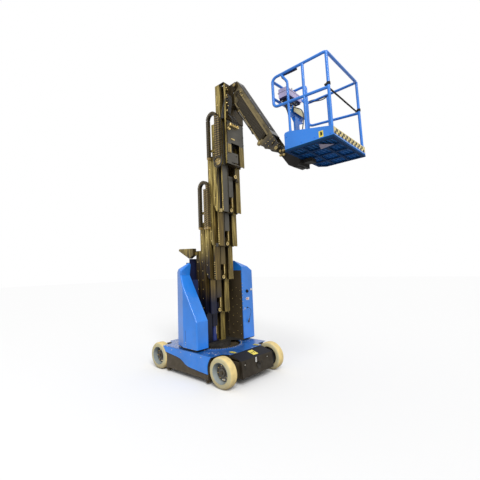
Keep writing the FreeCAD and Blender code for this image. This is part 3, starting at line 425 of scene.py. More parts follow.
# painted highlight: gold for the jib channel's lip and top strip, standing for light along the edges
edge_highlight_gold = sprayed("worn gold edge", (0.210, 0.160, 0.066), roughness=0.4, metallic=0.3, coat=0.1, dust=0.0)
cream_yellow = flat("cream yellow", (0.76, 0.62, 0.26))
dark_chain = flat("dark chain", (0.022, 0.016, 0.007), 0.6, shine=0.2)
gold_block = sprayed("gold block", (0.36, 0.27, 0.10), roughness=0.3, metallic=0.5, coat=0.2, dust=0.0)
# painted highlight: the bright brass stands for the lit front strand's ribs
rib_highlight_brass = sprayed("rib highlight brass", (0.42, 0.29, 0.10), roughness=0.35, metallic=0.3, coat=0.1, dust=0.0)
brass = Finish("brass fitting", 0.28, 0.85)
brass.set("Base Color",
          brass.blend(brass.noise(40, 3), 0.35, 0.65, (0.62, 0.45, 0.16), (0.85, 0.68, 0.32)))
steel = Finish("zinc steel", 0.35, 0.8)
steel.set("Base Color", steel.blend(steel.noise(30, 3), 0.3, 0.7, (0.42, 0.40, 0.36), (0.60, 0.58, 0.52)))
WHEELS = [f"{end}_{side}" for end in ("front", "rear") for side in ("left", "right")]
wear(tyre_rubber, *[f"tyre_{w}" for w in WHEELS])
wear(rim_grey, *[f"rim_{w}" for w in WHEELS])
wear(chain_plastic, "energy_chain_upper", "energy_chain_lower", "jib_hose_chain")
wear(plastic, "plug_gland", "plug")
wear(lavender, "control_box")
wear(chrome, "jib_cylinder_rod")
wear(floor_blue, "basket_floor")
print("materials", len(bpy.data.materials))

# %% [markdown]
# ## Hands for modelling
# Every added piece starts as a primitive at its size and place. Its transform is applied at once, so the mesh
# holds world coordinates and a face can be picked by where it is or where it looks. The small class below only
# groups the operators that a person would click: pick, inset, push, bevel, and at the end smooth and hand over
# to the body that carries the piece.

# %% A piece in the making
UP, DOWN, FRONT, LEFT, RIGHT = (0, 0, 1), (0, 0, -1), (1, 0, 0), (0, -1, 0), (0, 1, 0)
SIDES = (("left", -1), ("right", 1))
QUARTER = radians(90)


class Piece:
    """A mesh shaped with operators, from a primitive to a finished part that rides on a body."""

    def __init__(self, kind, at, span=(1, 1, 1), turn=(0, 0, 0), **more):
        drop_selection()
        if kind == "cube":
            more["size"] = 1
        if kind != "torus":
            more["scale"] = span
        getattr(bpy.ops.mesh, f"primitive_{kind}_add")(location=at, rotation=turn, **more)
        self.obj = bpy.context.object
        bpy.ops.object.transform_apply(location=True, rotation=True, scale=True)
        bpy.ops.object.mode_set(mode="EDIT")

    def pick(self, test, level="FACE"):
        """Select exactly the faces, edges or points for which test(place, normal) is true."""
        bpy.ops.mesh.select_mode(type=level)
        bpy.ops.mesh.select_all(action="DESELECT")
        mesh = bmesh.from_edit_mesh(self.obj.data)
        for part in {"FACE": mesh.faces, "EDGE": mesh.edges, "VERT": mesh.verts}[level]:
            if level == "FACE":
                place, normal = part.calc_center_median(), part.normal
            elif level == "EDGE":
                place, normal = (part.verts[0].co + part.verts[1].co) / 2, part.verts[1].co - part.verts[0].co
            else:
                place, normal = part.co, part.normal
            part.select_set(bool(test(place, normal)))
        mesh.select_flush_mode()
        bmesh.update_edit_mesh(self.obj.data)
        return self

    def facing(self, direction, limit=0.9):
        """Select the faces that look along a direction."""
        way = Vector(direction).normalized()
        return self.pick(lambda place, normal: normal.dot(way) > limit)

    def across(self, axis):
        """Select the faces at both ends of an axis."""
        return self.pick(lambda place, normal: abs(normal["xyz".index(axis)]) > 0.9)

    def inset(self, thickness, depth=0.0, each=False):
        bpy.ops.mesh.inset(thickness=thickness, depth=depth, use_individual=each)
        return self

    def push(self, move):
        bpy.ops.mesh.extrude_region_move(TRANSFORM_OT_translate={"value": move})
        return self

    def grow(self, factors):
        """Scale what is selected about its middle."""
        bpy.ops.transform.resize(value=factors)
        return self

    def slide(self, move):
        bpy.ops.transform.translate(value=move)
        return self

    def bevel(self, width, segments=2):
        bpy.ops.mesh.bevel(offset=width, segments=segments)
        return self

    def soften(self, width, segments=2):
        """Leave edit mode and round the sharp edges with an applied Bevel modifier."""
        bpy.ops.object.mode_set(mode="OBJECT")
        mod = self.obj.modifiers.new("round", "BEVEL")
        mod.width, mod.segments, mod.limit_method, mod.angle_limit = width, segments, "ANGLE", radians(40)
        bpy.ops.object.modifier_apply(modifier=mod.name)
        return self

    def done(self, name, body, finish):
        """Leave edit mode and hand over to the body that carries the piece."""
        if self.obj.mode == "EDIT":
            bpy.ops.object.mode_set(mode="OBJECT")
        return hand_over(self.obj, name, body, finish)

    def copies(self, places, name, body, finish):
        """Copy the piece to each place and join the copies; the original itself goes."""
        original = master(self)
        joined = repeat(original, places, name, body, finish)
        put_away(original)
        return joined


def make_active(obj):
    drop_selection()
    obj.select_set(True)
    bpy.context.view_layer.objects.active = obj


def hand_over(obj, name, body, finish):
    """Smooth by angle, dress, name and give to a body."""
    make_active(obj)
    bpy.ops.object.shade_smooth_by_angle(angle=radians(35))
    obj.name = name
    obj.data.name = name
    obj.data.materials.clear()
    obj.data.materials.append(finish.material)
    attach(obj, body)
    return obj


# %% Copies of one master, joined per body
def facing(place, direction, spin=0.0):
    """Matrix that stands a master modelled on the origin, upright, at a place and along a direction."""
    turn = Vector(direction).to_track_quat("Z", "Y").to_matrix().to_4x4()
    return Matrix.Translation(place) @ turn @ Matrix.Rotation(spin, 4, "Z")


def repeat(master, places, name, body, finish):
    """Copy a master mesh to each place and join the copies into one piece on one body."""
    twins = []
    for place in places:
        twin = master.copy()
        twin.data = master.data.copy()
        twin.hide_render = False
        bpy.context.scene.collection.objects.link(twin)
        twin.data.transform(place)
        if place.determinant() < 0:
            twin.data.flip_normals()
        twins.append(twin)
    drop_selection()
    for twin in twins:
        twin.select_set(True)
    bpy.context.view_layer.objects.active = twins[0]
    if len(twins) > 1:
        bpy.ops.object.join()
    return hand_over(twins[0], name, body, finish)


def master(piece):
    """Take a piece out of edit mode and keep it as a master for copies; it never shows itself."""
    if piece.obj.mode == "EDIT":
        bpy.ops.object.mode_set(mode="OBJECT")
    piece.obj.hide_render = True
    return piece.obj


def put_away(*masters):
    for obj in masters:
        bpy.data.objects.remove(obj)


def disc(at, radius, depth, vertices, turn=(0, 0, 0)):
    """A cylinder in the making, its axis upright unless it is turned."""
    return Piece("cylinder", at, turn=turn, vertices=vertices, radius=radius, depth=depth)


def plate(name, body, at, span, way, steps, finish, soft=0.0, places=None):
    """A block whose face that looks one way takes insets (width, depth) in turn; places set out copies of it."""
    block = Piece("cube", at, span).facing(way)
    for width, depth in steps:
        block.inset(width, depth)
    if soft:
        block.soften(soft)
    return block.copies(places, name, body, finish) if places else block.done(name, body, finish)


# %% Hoses along a path
def tube(name, points, radius, round_steps, steps):
    """A smooth curve through guide points, thick as a tube."""
    data = bpy.data.curves.new(name, "CURVE")
    data.dimensions = "3D"
    data.bevel_depth, data.bevel_resolution, data.use_fill_caps = radius, round_steps, True
    spline = data.splines.new("NURBS")
    spline.points.add(len(points) - 1)
    for point, place in zip(spline.points, points):
        point.co = (*place, 1)
    spline.order_u, spline.use_endpoint_u, spline.resolution_u = 3, True, steps
    obj = bpy.data.objects.new(name, data)
    bpy.context.scene.collection.objects.link(obj)
    return obj


def hose(name, body, points, radius, finish, steps=6):
    """A clamped hose or bent bar, made a mesh."""
    make_active(tube(name, points, radius, 2, steps))
    bpy.ops.object.convert(target="MESH")
    return hand_over(bpy.context.object, name, body, finish)


# %% [markdown]
# ## Fasteners
# Bolts are what tells a plate from a drawing of a plate. One hexagon head and one pan head are modelled on the
# origin and then copied wherever the machine is screwed together.

# %% Bolt and screw masters
hexagon = disc((0, 0, 0.35), 1.0, 0.7, 6)
hexagon.facing(UP).inset(0.12).push((0, 0, 0.1)).grow((0.86, 0.86, 1))
hexagon.inset(0.25).push((0, 0, -0.12))
HEX = master(hexagon)
pan = disc((0, 0, 0.2), 1.0, 0.4, 12)
pan.facing(UP).inset(0.22).slide((0, 0, 0.22)).inset(0.3).push((0, 0, -0.2))
PAN = master(pan)


def screws(name, body, kind, size, places, direction, finish):
    """Heads of one size at several places, all looking one way, each turned a little further."""
    scale = Matrix.Scale(size, 4)
    return repeat(kind, [facing(p, direction, 0.3 * i) @ scale for i, p in enumerate(places)], name, body, finish)


print("bolt heads", len(HEX.data.polygons), "and", len(PAN.data.polygons), "faces")

# %% [markdown]
# ## Wheels
# The tyre is cream, solid and round-shouldered; the rim sits deep inside it, a pale dish round a dark hub
# motor. A turned section would do for both, so a short profile is spun round the axle. One tyre and one hub
# serve all four corners: each copy is carried to its axle and mirrored for the other side.

# %% Where the axles are
AXLES = {}
for wheel in WHEELS:
    low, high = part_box("tyre_" + wheel)
    side = 1 if wheel.endswith("right") else -1
    AXLES[wheel] = (Vector(((low[0] + high[0]) / 2, side * 0.69, (low[2] + high[2]) / 2)), side)
TYRE_R = (high[2] - low[2]) / 2
print("tyre radius", round(TYRE_R, 4), "axles", [tuple(round(v, 3) for v in p) for p, _ in AXLES.values()])


# %% A turned profile
def turned(profile, steps):
    """Spin a closed profile of (depth behind the outer face, radius) round the axle, here the Z axis."""
    mesh = bpy.data.meshes.new("profile")
    points = [(radius, 0, -depth) for depth, radius in profile]
    mesh.from_pydata(points, [(i, (i + 1) % len(points)) for i in range(len(points))], [])
    obj = bpy.data.objects.new("profile", mesh)
    bpy.context.scene.collection.objects.link(obj)
    make_active(obj)
    bpy.ops.object.mode_set(mode="EDIT")
    bpy.ops.mesh.select_all(action="SELECT")
    bpy.ops.mesh.spin(steps=steps, angle=radians(360), center=(0, 0, 0), axis=(0, 0, 1))
    bpy.ops.mesh.select_all(action="SELECT")
    bpy.ops.mesh.remove_doubles(threshold=0.00002)
    bpy.ops.mesh.normals_make_consistent(inside=False)
    bpy.ops.object.mode_set(mode="OBJECT")
    obj.hide_render = True
    return obj


def axle_place(wheel):
    """Matrix from a master that looks along +Z to the outer face of one wheel."""
    place, side = AXLES[wheel]
    return facing(place, (0, side, 0))


# %% Tyre with rolled shoulders
tyre_master = turned([
    (0.004, 0.1503), (0.000, 0.156), (0.002, 0.170), (-0.001, 0.187), (0.003, 0.202), (0.011, 0.214),
    (0.022, 0.2212), (0.036, 0.2245), (0.075, 0.2250), (0.114, 0.2245), (0.128, 0.2212), (0.139, 0.214),
    (0.147, 0.202), (0.150, 0.187), (0.150, 0.156), (0.146, 0.1503)], 56)
for wheel in WHEELS:
    piece = repeat(tyre_master, [axle_place(wheel)], "solid_tyre_" + wheel, "wheel_" + wheel, tyre_rubber)
    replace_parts(piece, "tyre_" + wheel)
print("tyre", len(tyre_master.data.polygons), "faces")

# %% [markdown]
# The dish of the rim is turned too, with a rolled edge. Inside it stands the hub motor: a ribbed dark drum with
# a ring of studs, and a small white plate riveted on.

# %% Rim dish, hub motor, studs and plate
rim_master = turned([
    (0.001, 0.150), (-0.002, 0.1485), (-0.001, 0.1465), (0.006, 0.1445), (0.050, 0.1395), (0.086, 0.134),
    (0.096, 0.124), (0.096, 0.066), (0.102, 0.066), (0.102, 0.128), (0.106, 0.138), (0.143, 0.139),
    (0.145, 0.144), (0.144, 0.1495), (0.012, 0.1495)], 48)
hub = disc((0, 0, -0.084), 0.120, 0.024, 40)
hub.facing(UP).inset(0.014).push((0, 0, -0.010)).inset(0.016).push((0, 0, 0.018)).inset(0.022)
hub.push((0, 0, -0.010)).inset(0.012).push((0, 0, 0.028)).inset(0.008).push((0, 0, 0.006)).inset(0.012)
hub.push((0, 0, -0.006))
hub.soften(0.0018)
hub_master = master(hub)
stud = disc((0, 0, 0), 0.008, 0.020, 8)
stud.facing(UP).inset(0.002).push((0, 0, 0.004))
stud_master = master(stud)
STUDS = 8
for wheel in WHEELS:
    body, at = "wheel_" + wheel, axle_place(wheel)
    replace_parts(repeat(rim_master, [at], "rim_dish_" + wheel, body, rim_grey), "rim_" + wheel)
    repeat(hub_master, [at], "hub_motor_" + wheel, body, hub_brown)
    studs = [at @ Matrix.Rotation(radians(360 / STUDS * i + 10), 4, "Z") @ Matrix.Translation((0.098, 0, -0.074))
             for i in range(STUDS)]
    repeat(stud_master, studs, "hub_studs_" + wheel, body, brass)
    place, side = AXLES[wheel]
    low_spot = facing(place + Vector((0.010, -side * 0.0712, -0.092)), (0, side, 0))
    plate("hub_plate_" + wheel, body, (0, 0, 0), (0.054, 0.026, 0.0012), UP, [(0.0015, -0.0004)], white,
          places=[low_spot])
put_away(tyre_master, rim_master, hub_master, stud_master)
print("hub studs", len(studs), "per wheel")

# %% [markdown]
# ## Energy chains
# Two loops of plastic chain carry hoses up the left of the mast. Each link is one short hollow box with a rib
# between its windows; it is modelled once and set out along the loop: up the rear strand, round the bend on
# top, down the front strand. The turn of each link follows the path, so the bend reads as real links.

# %% One link and the path of a loop
LINK_PITCH = 0.033
STRAND_X, STRAND_Y = 0.027, 0.0325
STRANDS_APART = 0.2
REAR_FOOT = {"energy_chain_upper": 0.13, "energy_chain_lower": 0.0}
link = Piece("cube", (0, 0, 0), (0.030, 0.064, 0.054))
link.facing(UP).inset(0.007, -0.006)
link.facing(DOWN).inset(0.007, -0.006)
link.across("y").inset(0.006, -0.003, each=True)
link.soften(0.0022, 1)
rib = Piece("cube", (0, 0, 0), (0.010, 0.067, 0.050), (0, radians(30), 0))
rib.across("y").inset(0.003, 0.002, each=True)
rib.soften(0.0016, 1)
link_master, rib_master = master(link), master(rib)


def loop_places(node):
    """Places along an upside-down U, read from the solid it replaces."""
    low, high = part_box(node)
    across = low[1] + STRAND_Y
    rear, front = low[0] + STRAND_X, low[0] + STRAND_X + STRANDS_APART
    bend = (front - rear) / 2
    top = high[2] - STRAND_X - bend
    path, z = [], low[2] + REAR_FOOT[node] + LINK_PITCH / 2
    while z < top:
        path.append((Vector((rear, across, z)), 0.0))
        z += LINK_PITCH
    steps = round(pi * bend / LINK_PITCH)
    for i in range(steps):
        turn = pi * (i + 0.5) / steps
        path.append((Vector((rear + bend - bend * cos(turn), across, top + bend * sin(turn))), turn))
    z = top - LINK_PITCH / 2
    while z > low[2]:
        path.append((Vector((front, across, z)), pi))
        z -= LINK_PITCH
    return path


def along(path):
    return [Matrix.Translation(at) @ Matrix.Rotation(turn - QUARTER, 4, "Y") for at, turn in path]


# %% Both loops, with end shoes and the arm that bolts them to their section
for node, body, aside in (("energy_chain_upper", "mast_4", 0.060), ("energy_chain_lower", "mast_2", -0.058)):
    low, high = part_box(node)
    path = loop_places(node)
    rise = [step for step in path if step[1] < 2.9]
    fall = [step for step in path if step[1] >= 2.9]
    # beside the front strand a second one lies in its trough, on the side where nothing passes
    beside = [(at + Vector((aside, 0, 0)), turn) for at, turn in path if turn > 3.1 and at.z < high[2] - 0.17]
    named = node.replace("energy_chain", "chain_{}").format
    links = repeat(link_master, along(path + beside), named("links"), body, chain_plastic)
    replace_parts(links, node)
    # lit and shaded copies of one rib: rear strand dark brown as painted shade, front strand bright brass as
    # painted highlight
    repeat(rib_master, along(rise), named("ribs") + "_rear", body, rib_brown)
    repeat(rib_master, along(fall + beside), named("ribs"), body, rib_highlight_brass)
    arm = Piece("cube", (path[-1][0].x - 0.1, -0.2674, low[2] + 0.265), (0.24, 0.0055, 0.050))
    arm.across("z").inset(0.001, -0.002, each=True)
    arm.done(named("arm"), body, bronze)
    ends = [strand[0] for strand in (path[0], path[-1], beside[-1])]
    shoe = Piece("cube", (0, 0, 0), (0.052, 0.067, 0.040))
    shoe.facing(DOWN).grow((0.7, 0.9, 1)).bevel(0.004, 1)
    shoe.facing(LEFT).inset(0.008, -0.004)
    shoe_places = [Matrix.Translation(at - Vector((0, 0, 0.030))) for at in ends]
    shoe.copies(shoe_places, named("ends"), body, rib_highlight_brass)
    bolts = [at + Vector((dx, -0.036, -0.030)) for at in ends for dx in (-0.014, 0.014)]
    bolts += [beside[0][0] + Vector((dx, -0.036, 0.022)) for dx in (-0.040, -0.015, 0.012)]
    screws(named("bolts"), body, HEX, 0.006, bolts, LEFT, steel)
put_away(link_master, rib_master)
print("links", len(path))

# %% [markdown]
# Under the bend of each loop hoses come over to the mast. At the upper loop's foot they curl into a ring round a
# golden disc before they go down; that ring shows clearly from the front.

# %% Hose ring at the foot of the upper loop
low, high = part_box("energy_chain_upper")
ring_at = Vector((0.53, low[1] - 0.004, low[2] - 0.005))
Piece("torus", ring_at, turn=(QUARTER, 0, 0), major_radius=0.090, minor_radius=0.009, major_segments=36,
      minor_segments=8).done("hose_ring", "mast_4", plastic)
dial = disc(ring_at + Vector((0, 0.012, 0)), 0.070, 0.012, 28, (QUARTER, 0, 0))
dial.facing(LEFT).inset(0.020, -0.003).inset(0.014, 0.005).inset(0.010, -0.004)
dial.done("hose_ring_disc", "mast_4", gold_block)
screws("hose_ring_bolts", "mast_4", HEX, 0.008,
       [ring_at + Vector((0.045 * cos(a), 0.004, 0.045 * sin(a))) for a in (0.5, 1.8, 2.8, 4.2, 5.4)], LEFT, brass)
for i, (dx, dz) in enumerate(((-0.02, 0.0), (0.012, 0.02))):
    way_round = ((-0.090 + dx, 0.006, 0.12 + dz), (-0.085 + dx, 0, 0.03), (-0.02, -0.006, -0.075),
                 (0.06, -0.004, -0.055), (0.085, 0.01, 0.02 + dz), (0.075, 0.03, 0.10 + dz))
    hose(f"ring_hose_{i + 1}", "mast_4", [ring_at + Vector(p) for p in way_round], 0.0065, plastic)
print("ring at", tuple(round(v, 3) for v in ring_at))

# %% [markdown]
# ## End covers and deck
# Both end covers are folded black sheet, held by countersunk screws, with two fields of slanting grooves that let
# air through, a towing socket with a hexagonal pocket in the middle and small labels. The sheet comes from the
# CAD frame; here each small thing gets its own piece, seated on the slope of the face it belongs to.

# %% Place on an end cover: a point on the sheet and the way the sheet looks
BOSS = 0.011


def on_cover(node, y, z, out=0.0):
    """Point on an end cover's upright face, behind its boss."""
    low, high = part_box(node)
    side = 1 if low[0] + high[0] > 0 else -1
    return Vector((side * (max(abs(low[0]), abs(high[0])) - BOSS + out), y, z))


SCREWS_YZ = ((-0.375, 0.165), (-0.33, 0.300), (0.24, 0.310), (0.365, 0.160))
FANS = (((-0.33, 0.262), (-0.22, 0.130), 74), ((0.10, 0.262), (0.25, 0.140), 62))
for end, side in (("front", 1), ("rear", -1)):
    node, way = "end_cover_" + end, Vector((side, 0, 0))
    screws("cover_screws_" + end, "base", PAN, 0.0085, [on_cover(node, y, z, -0.0005) for y, z in SCREWS_YZ], way,
           steel)
    grooves = [facing(on_cover(node, y0 + (y1 - y0) * t, z0 + (z1 - z0) * t, 0.0006), way, side * radians(lean))
               for (y0, z0), (y1, z1), lean in FANS for t in (0, 0.25, 0.5, 0.75, 1)]
    groove = Piece("cube", (0, 0, 0), (0.016, 0.095, 0.004))
    groove.across("x").grow((1, 0.5, 1))
    groove.facing(UP).inset(0.002, -0.0022)
    groove.soften(0.0008).copies(grooves, "air_grooves_" + end, "base", black)
    socket = disc(on_cover(node, 0.0, 0.232, BOSS + 0.001), 0.050, 0.014, 6, (0, side * QUARTER, 0))
    socket.facing(way).inset(0.008).push(way * -0.009).inset(0.014).push(way * -0.010)
    socket.soften(0.0015).done("towing_socket_" + end, "base", black)
print("cover details at both ends")


# %% Labels: thin plates with a raised rim and a printed sign
def sticker(name, body, at, way, width, height, finish, spin=0.0, mark=None):
    """A plate 1 mm thick; mark is (finish, kind) for the sign printed on it: a bar or a figure."""
    places = [facing(at, way, spin)]
    plate(name, body, (0, 0, 0.0004), (width, height, 0.0012), UP, [(min(width, height) * 0.08, -0.0003)], finish,
          places=places)
    if not mark:
        return
    if mark[1] == "figure":
        sign = Piece("cube", (0, 0, 0.0013), (width * 0.30, height * 0.55, 0.0012))
        sign.facing(RIGHT).push((0, height * 0.10, 0)).grow((0.5, 1, 1))
        sign.facing(FRONT).inset(height * 0.12).push((width * 0.12, 0, 0))
    else:
        sign = Piece("cube", (0, 0, 0.0013), (width * 0.72, height * 0.22, 0.0012))
        sign.facing(UP).inset(height * 0.05, -0.0005)
    sign.copies(places, name + "_sign", body, mark[0])


FOLD_SLOPE = 0.2857
FOLD_X = 0.815
FOLD_Z = 0.420 - FOLD_SLOPE * (FOLD_X - 0.722) + 0.0012
fold = Vector((FOLD_SLOPE, 0, 1)).normalized()
sticker("cover_label_white", "base", on_cover("end_cover_front", -0.055, 0.325, 0.0005), FRONT,
        0.070, 0.032, white, QUARTER, (black, "bar"))
sticker("cover_label_yellow", "base", (FOLD_X, 0.030, FOLD_Z), fold, 0.130, 0.120, yellow, QUARTER)
sign = Piece("cube", (0, 0, 0.0016), (0.046, 0.013, 0.0014)).facing(FRONT).grow((1, 1.8, 1))
sign.copies([facing((FOLD_X, y, FOLD_Z), fold, QUARTER) for y in (0.004, 0.056)], "cover_label_signs",
            "base", black)
for i, (x, y) in enumerate(((0.68, -0.30), (0.66, 0.33))):
    sticker(f"deck_label_{i + 1}", "base", (x, y, 0.4372), UP, 0.105, 0.060, yellow, 0.0, (black, "bar"))
print("labels on base")

# %% [markdown]
# A ring of bolts round the well and a row of screws along each skirt finish the base. The skirts bolt to the
# frame under their fold, four screws each side.

# %% Bolts along skirts and deck
WELL_R = 0.475


def flank(node, side):
    """How far out the flank of a solid lies, on the left (-1) or the right (1)."""
    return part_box(node)[0 if side < 0 else 1][1]


for tag, side in SIDES:
    places = [(x, flank("side_skirt_" + tag, side), 0.385) for x in (-0.36, -0.12, 0.12, 0.36)]
    screws("skirt_screws_" + tag, "base", PAN, 0.0075, places, (0, side, 0), steel)
low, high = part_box("deck_plate")
rim = [(WELL_R * cos(radians(a)), WELL_R * sin(radians(a)), high[2] - 0.0005) for a in range(-75, 76, 5)]
screws("slew_ring_bolts", "base", HEX, 0.0080, rim, UP, steel)
print("deck box", [round(v, 3) for v in (*low, *high)], "ring bolts", len(rim))

# %% [markdown]
# ## Turret covers
# The tall covers are blue shells with folded edges. A row of screws along the foot of each flank tells that they
# come off. On the front of the right one sit the emergency stop with its ring, a few labels, the charging lead's
# gland, a row of screws down the inner edge and a small latch at the outer one.

# %% Things on the front of the right cover
FRONT_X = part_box("plug_gland")[0][0]
knob = disc((FRONT_X + 0.006, 0.57, 1.31), 0.030, 0.012, 24, (0, QUARTER, 0))
knob.facing(FRONT).inset(0.008, -0.004).inset(0.003).push((0.016, 0, 0)).inset(-0.004).push((0.007, 0, 0))
knob.inset(0.007, 0.003)
knob.soften(0.001).done("stop_button_turret", "turret", black)
for name, y, z, width, height, mark in (("cover_label_red", 0.590, 1.172, 0.050, 0.085, (red, "bar")),
                                        ("cover_label_small", 0.548, 1.172, 0.026, 0.034, (red, "figure")),
                                        ("cover_tag", 0.495, 1.000, 0.030, 0.022, (black, "bar"))):
    sticker(name, "turret", (FRONT_X + 0.0006, y, z), FRONT, width, height, white, QUARTER, mark)
latch = Piece("cube", (FRONT_X + 0.006, 0.700, 1.335), (0.012, 0.050, 0.036))
latch.facing(FRONT).inset(0.006, -0.003).inset(0.006).push((0.005, 0, 0))
latch.soften(0.002).done("cover_latch", "turret", white)
screws("cover_edge_screws", "turret", PAN, 0.0065,
       [(FRONT_X - 0.0004, 0.437, z) for z in (1.46, 1.40, 1.34, 1.27, 1.21, 1.13, 1.06, 0.98)], FRONT, steel)
print("front of right cover at x", round(FRONT_X, 4))

# %% Screws along the foot of each cover's flank
for tag, side in SIDES:
    places = [(x, flank("cover_" + tag, side), 0.475) for x in (0.16, 0.02, -0.12, -0.26)]
    screws("cover_screws_" + tag, "turret", PAN, 0.0065, places, (0, side, 0), steel)
plate("cover_slit", "turret", (0.005, flank("cover_left", -1) - 0.0002, 0.630), (0.010, 0.003, 0.230), LEFT,
      [(0.003, -0.0015)], deck_blue)
print("flanks done")

# %% [markdown]
# Inside the turret, right of the mast, a tall folded panel carries columns of small screws, every second column
# half a step higher.

# %% Inner panel screws
low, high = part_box("inner_panel_right")
rows = [(high[0] - back, low[1] - 0.0003, low[2] + 0.09 + 0.155 * i + 0.05 * (column % 2))
        for column, back in enumerate((0.02, 0.10, 0.20, 0.32)) for i in range(6)]
screws("inner_panel_screws", "turret", PAN, 0.006, [p for p in rows if p[2] < high[2] - 0.12], LEFT, brass)
print("inner panel", [round(v, 3) for v in (*low, *high)])

# %% [markdown]
# ## Mast
# Every section is a C of folded steel. At the foot of each hangs a sheave on a bolt, and a leaf chain runs from
# it up the inside of the section behind. Near the right flange those chains show as dotted golden strands, and
# the bolts' round bosses stand out as bright rings. One sheave ring and one chain plate are modelled and copied.

# %% Sheave rings, shoes and chain strands
ring_master = master(Piece("torus", (0, 0, 0.004), major_radius=0.0265, minor_radius=0.0085, major_segments=26,
                           minor_segments=8))
hollow = disc((0, 0, -0.006), 0.0275, 0.020, 22)
hollow.facing(UP).inset(0.006, -0.002).inset(0.008, 0.003)
hollow_master = master(hollow)
plate_link = disc((0, 0, 0), 0.0075, 0.0026, 10)
plate_link.pick(lambda place, normal: place.y > 0.003, "VERT").slide((0, 0.0135, 0))
plate_link.facing(UP).inset(0.0018, 0.0006)
link_plate = master(plate_link)

SECTIONS = [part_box(f"mast_section_{i}") for i in range(6)]
BODIES = ["turret"] + [f"mast_{i}" for i in range(1, 6)]
DEPTH = 0.115
CHAIN_PITCH = 0.0165
LYING = Matrix.Rotation(QUARTER, 4, "Z") @ Matrix.Rotation(QUARTER, 4, "X")
for i in range(1, 6):
    low, high = SECTIONS[i]
    foot, front = low[2] + 0.045 + 0.022, high[0]
    at = facing(Vector((front - 0.042, 0.012, foot)), FRONT)
    repeat(ring_master, [at], f"sheave_ring_{i}", BODIES[i], brass)
    repeat(hollow_master, [at], f"sheave_face_{i}", BODIES[i], black)
    screws(f"sheave_bolt_{i}", BODIES[i], HEX, 0.008, [at.translation + Vector((0.003, 0, 0))], FRONT, brass)
    shoe = Piece("cube", (front - 0.060, 0.032, foot - 0.024), (0.028, 0.084, 0.052))
    shoe.facing(FRONT).inset(0.008, -0.004)
    shoe.facing(DOWN).grow((0.8, 0.8, 1))
    shoe.soften(0.003, 1).done(f"sheave_shoe_{i}", BODIES[i], dark_chain)
    # three plates side by side, every second row shifted, from the section behind up to the shoe
    chain_x, top = front - DEPTH + 0.041 - 0.075, foot - 0.055
    z, k, places = max(SECTIONS[i - 1][0][2] + 0.12, top - 0.52), 0, []
    while z < top:
        shift = 0.0026 * (k % 2)
        places += [Matrix.Translation((chain_x + dx + shift, 0.018, z)) @ LYING for dx in (0.0, 0.0052, 0.0104)]
        z += CHAIN_PITCH
        k += 1
    repeat(link_plate, places, f"leaf_chain_{i}", BODIES[i - 1], brass)
put_away(ring_master, hollow_master, link_plate)

# %% [markdown]
# The sheet is folded back on itself along the left flange, and a pressed plate bridges the opening of every
# section a hand above its foot. Between hem and plate stays just the slot in which the next tongue slides.

# %% Hems, cross plates and the rows of rivets on the left side
for i in range(5):
    low, high = SECTIONS[i]
    front, foot, tall = high[0], low[2] + (0.02 if i else 0.0), high[2]
    plate(f"flange_hem_{i}", BODIES[i], (front - 0.001, -0.1080, (foot + tall) / 2),
          (0.006, 0.0120, tall - foot - 0.008), FRONT, [(0.0015, 0.0006)], PLATE_COATS[i])
    plate(f"cross_plate_{i}", BODIES[i], (front - 0.0004, -0.0295, foot + 0.455), (0.0056, 0.1130, 0.374), FRONT,
          [(0.004, 0.0006), (0.012, -0.0010)], PLATE_COATS[i])
    if i > 1:
        screws(f"side_rivets_{i}", BODIES[i], PAN, 0.0085,
               [(front - 0.013, -0.2340, foot + 0.035 + 0.038 * k) for k in range(8)], LEFT, brass)
# lit and shaded copies of one anchor: section 3's is slate as painted shade, section 4's gold
for i, finish in ((3, slate), (4, gold_block)):
    low, high = SECTIONS[i]
    anchor = Piece("cube", (high[0] - 0.022, -0.274, low[2] + 0.034), (0.040, 0.024, 0.060))
    anchor.facing(LEFT).inset(0.006, -0.003).inset(0.006, 0.004)
    anchor.facing(DOWN).grow((0.7, 0.8, 1))
    anchor.soften(0.003, 1).done(f"chain_anchor_{i}", BODIES[i], finish)
print("sections", [[round(v, 3) for v in (*a, *b)] for a, b in SECTIONS])

# %% [markdown]
# ## Head of the mast
# Under the jib's foot a brass manifold feeds the jib cylinder; a bundle of hoses comes over from the upper energy
# chain, loops past the pivot and enters the jib. On the grey front plates sit a tab, a round clamp and a bolted
# block at the window's left edge.

# %% Manifold with elbows
FACE_X = SECTIONS[5][1][0]
PORT_Z = 4.235
manifold = Piece("cube", (FACE_X + 0.022, -0.045, PORT_Z), (0.044, 0.230, 0.046))
manifold.facing(FRONT).inset(0.008, 0.004)
manifold.across("y").inset(0.010, 0.004, each=True)
manifold.soften(0.003).done("head_manifold", "mast_5", brass)
ELBOWS = ((-0.13, 0.085, 0.040), (-0.075, 0.060, 0.050), (-0.02, 0.095, 0.035), (0.035, 0.050, 0.045))
screws("manifold_ports", "mast_5", HEX, 0.017, [(FACE_X + 0.048, y, PORT_Z) for y, _, _ in ELBOWS], FRONT, brass)
screws("manifold_caps", "mast_5", HEX, 0.013,
       [(FACE_X + 0.022, y, 4.258) for y in (-0.14, -0.085, -0.03, 0.03)], UP, brass)
for i, (y, drop, reach) in enumerate(ELBOWS):
    hose(f"manifold_hose_{i + 1}", "mast_5",
         [(FACE_X + 0.055, y, PORT_Z), (FACE_X + 0.080, y - 0.004, PORT_Z),
          (FACE_X + 0.085, y - 0.03, PORT_Z + drop), (FACE_X + reach, y - 0.06, 4.30 + drop),
          (FACE_X + 0.015, y - 0.05, 4.42)], 0.0085, plastic)
clamp = disc((FACE_X + 0.008, -0.17, 4.165), 0.030, 0.016, 22, (0, QUARTER, 0))
clamp.facing(FRONT).inset(0.007, 0.004).inset(0.007, -0.008).inset(0.005, 0.003)
clamp.soften(0.0015).done("head_clamp", "mast_5", brass)
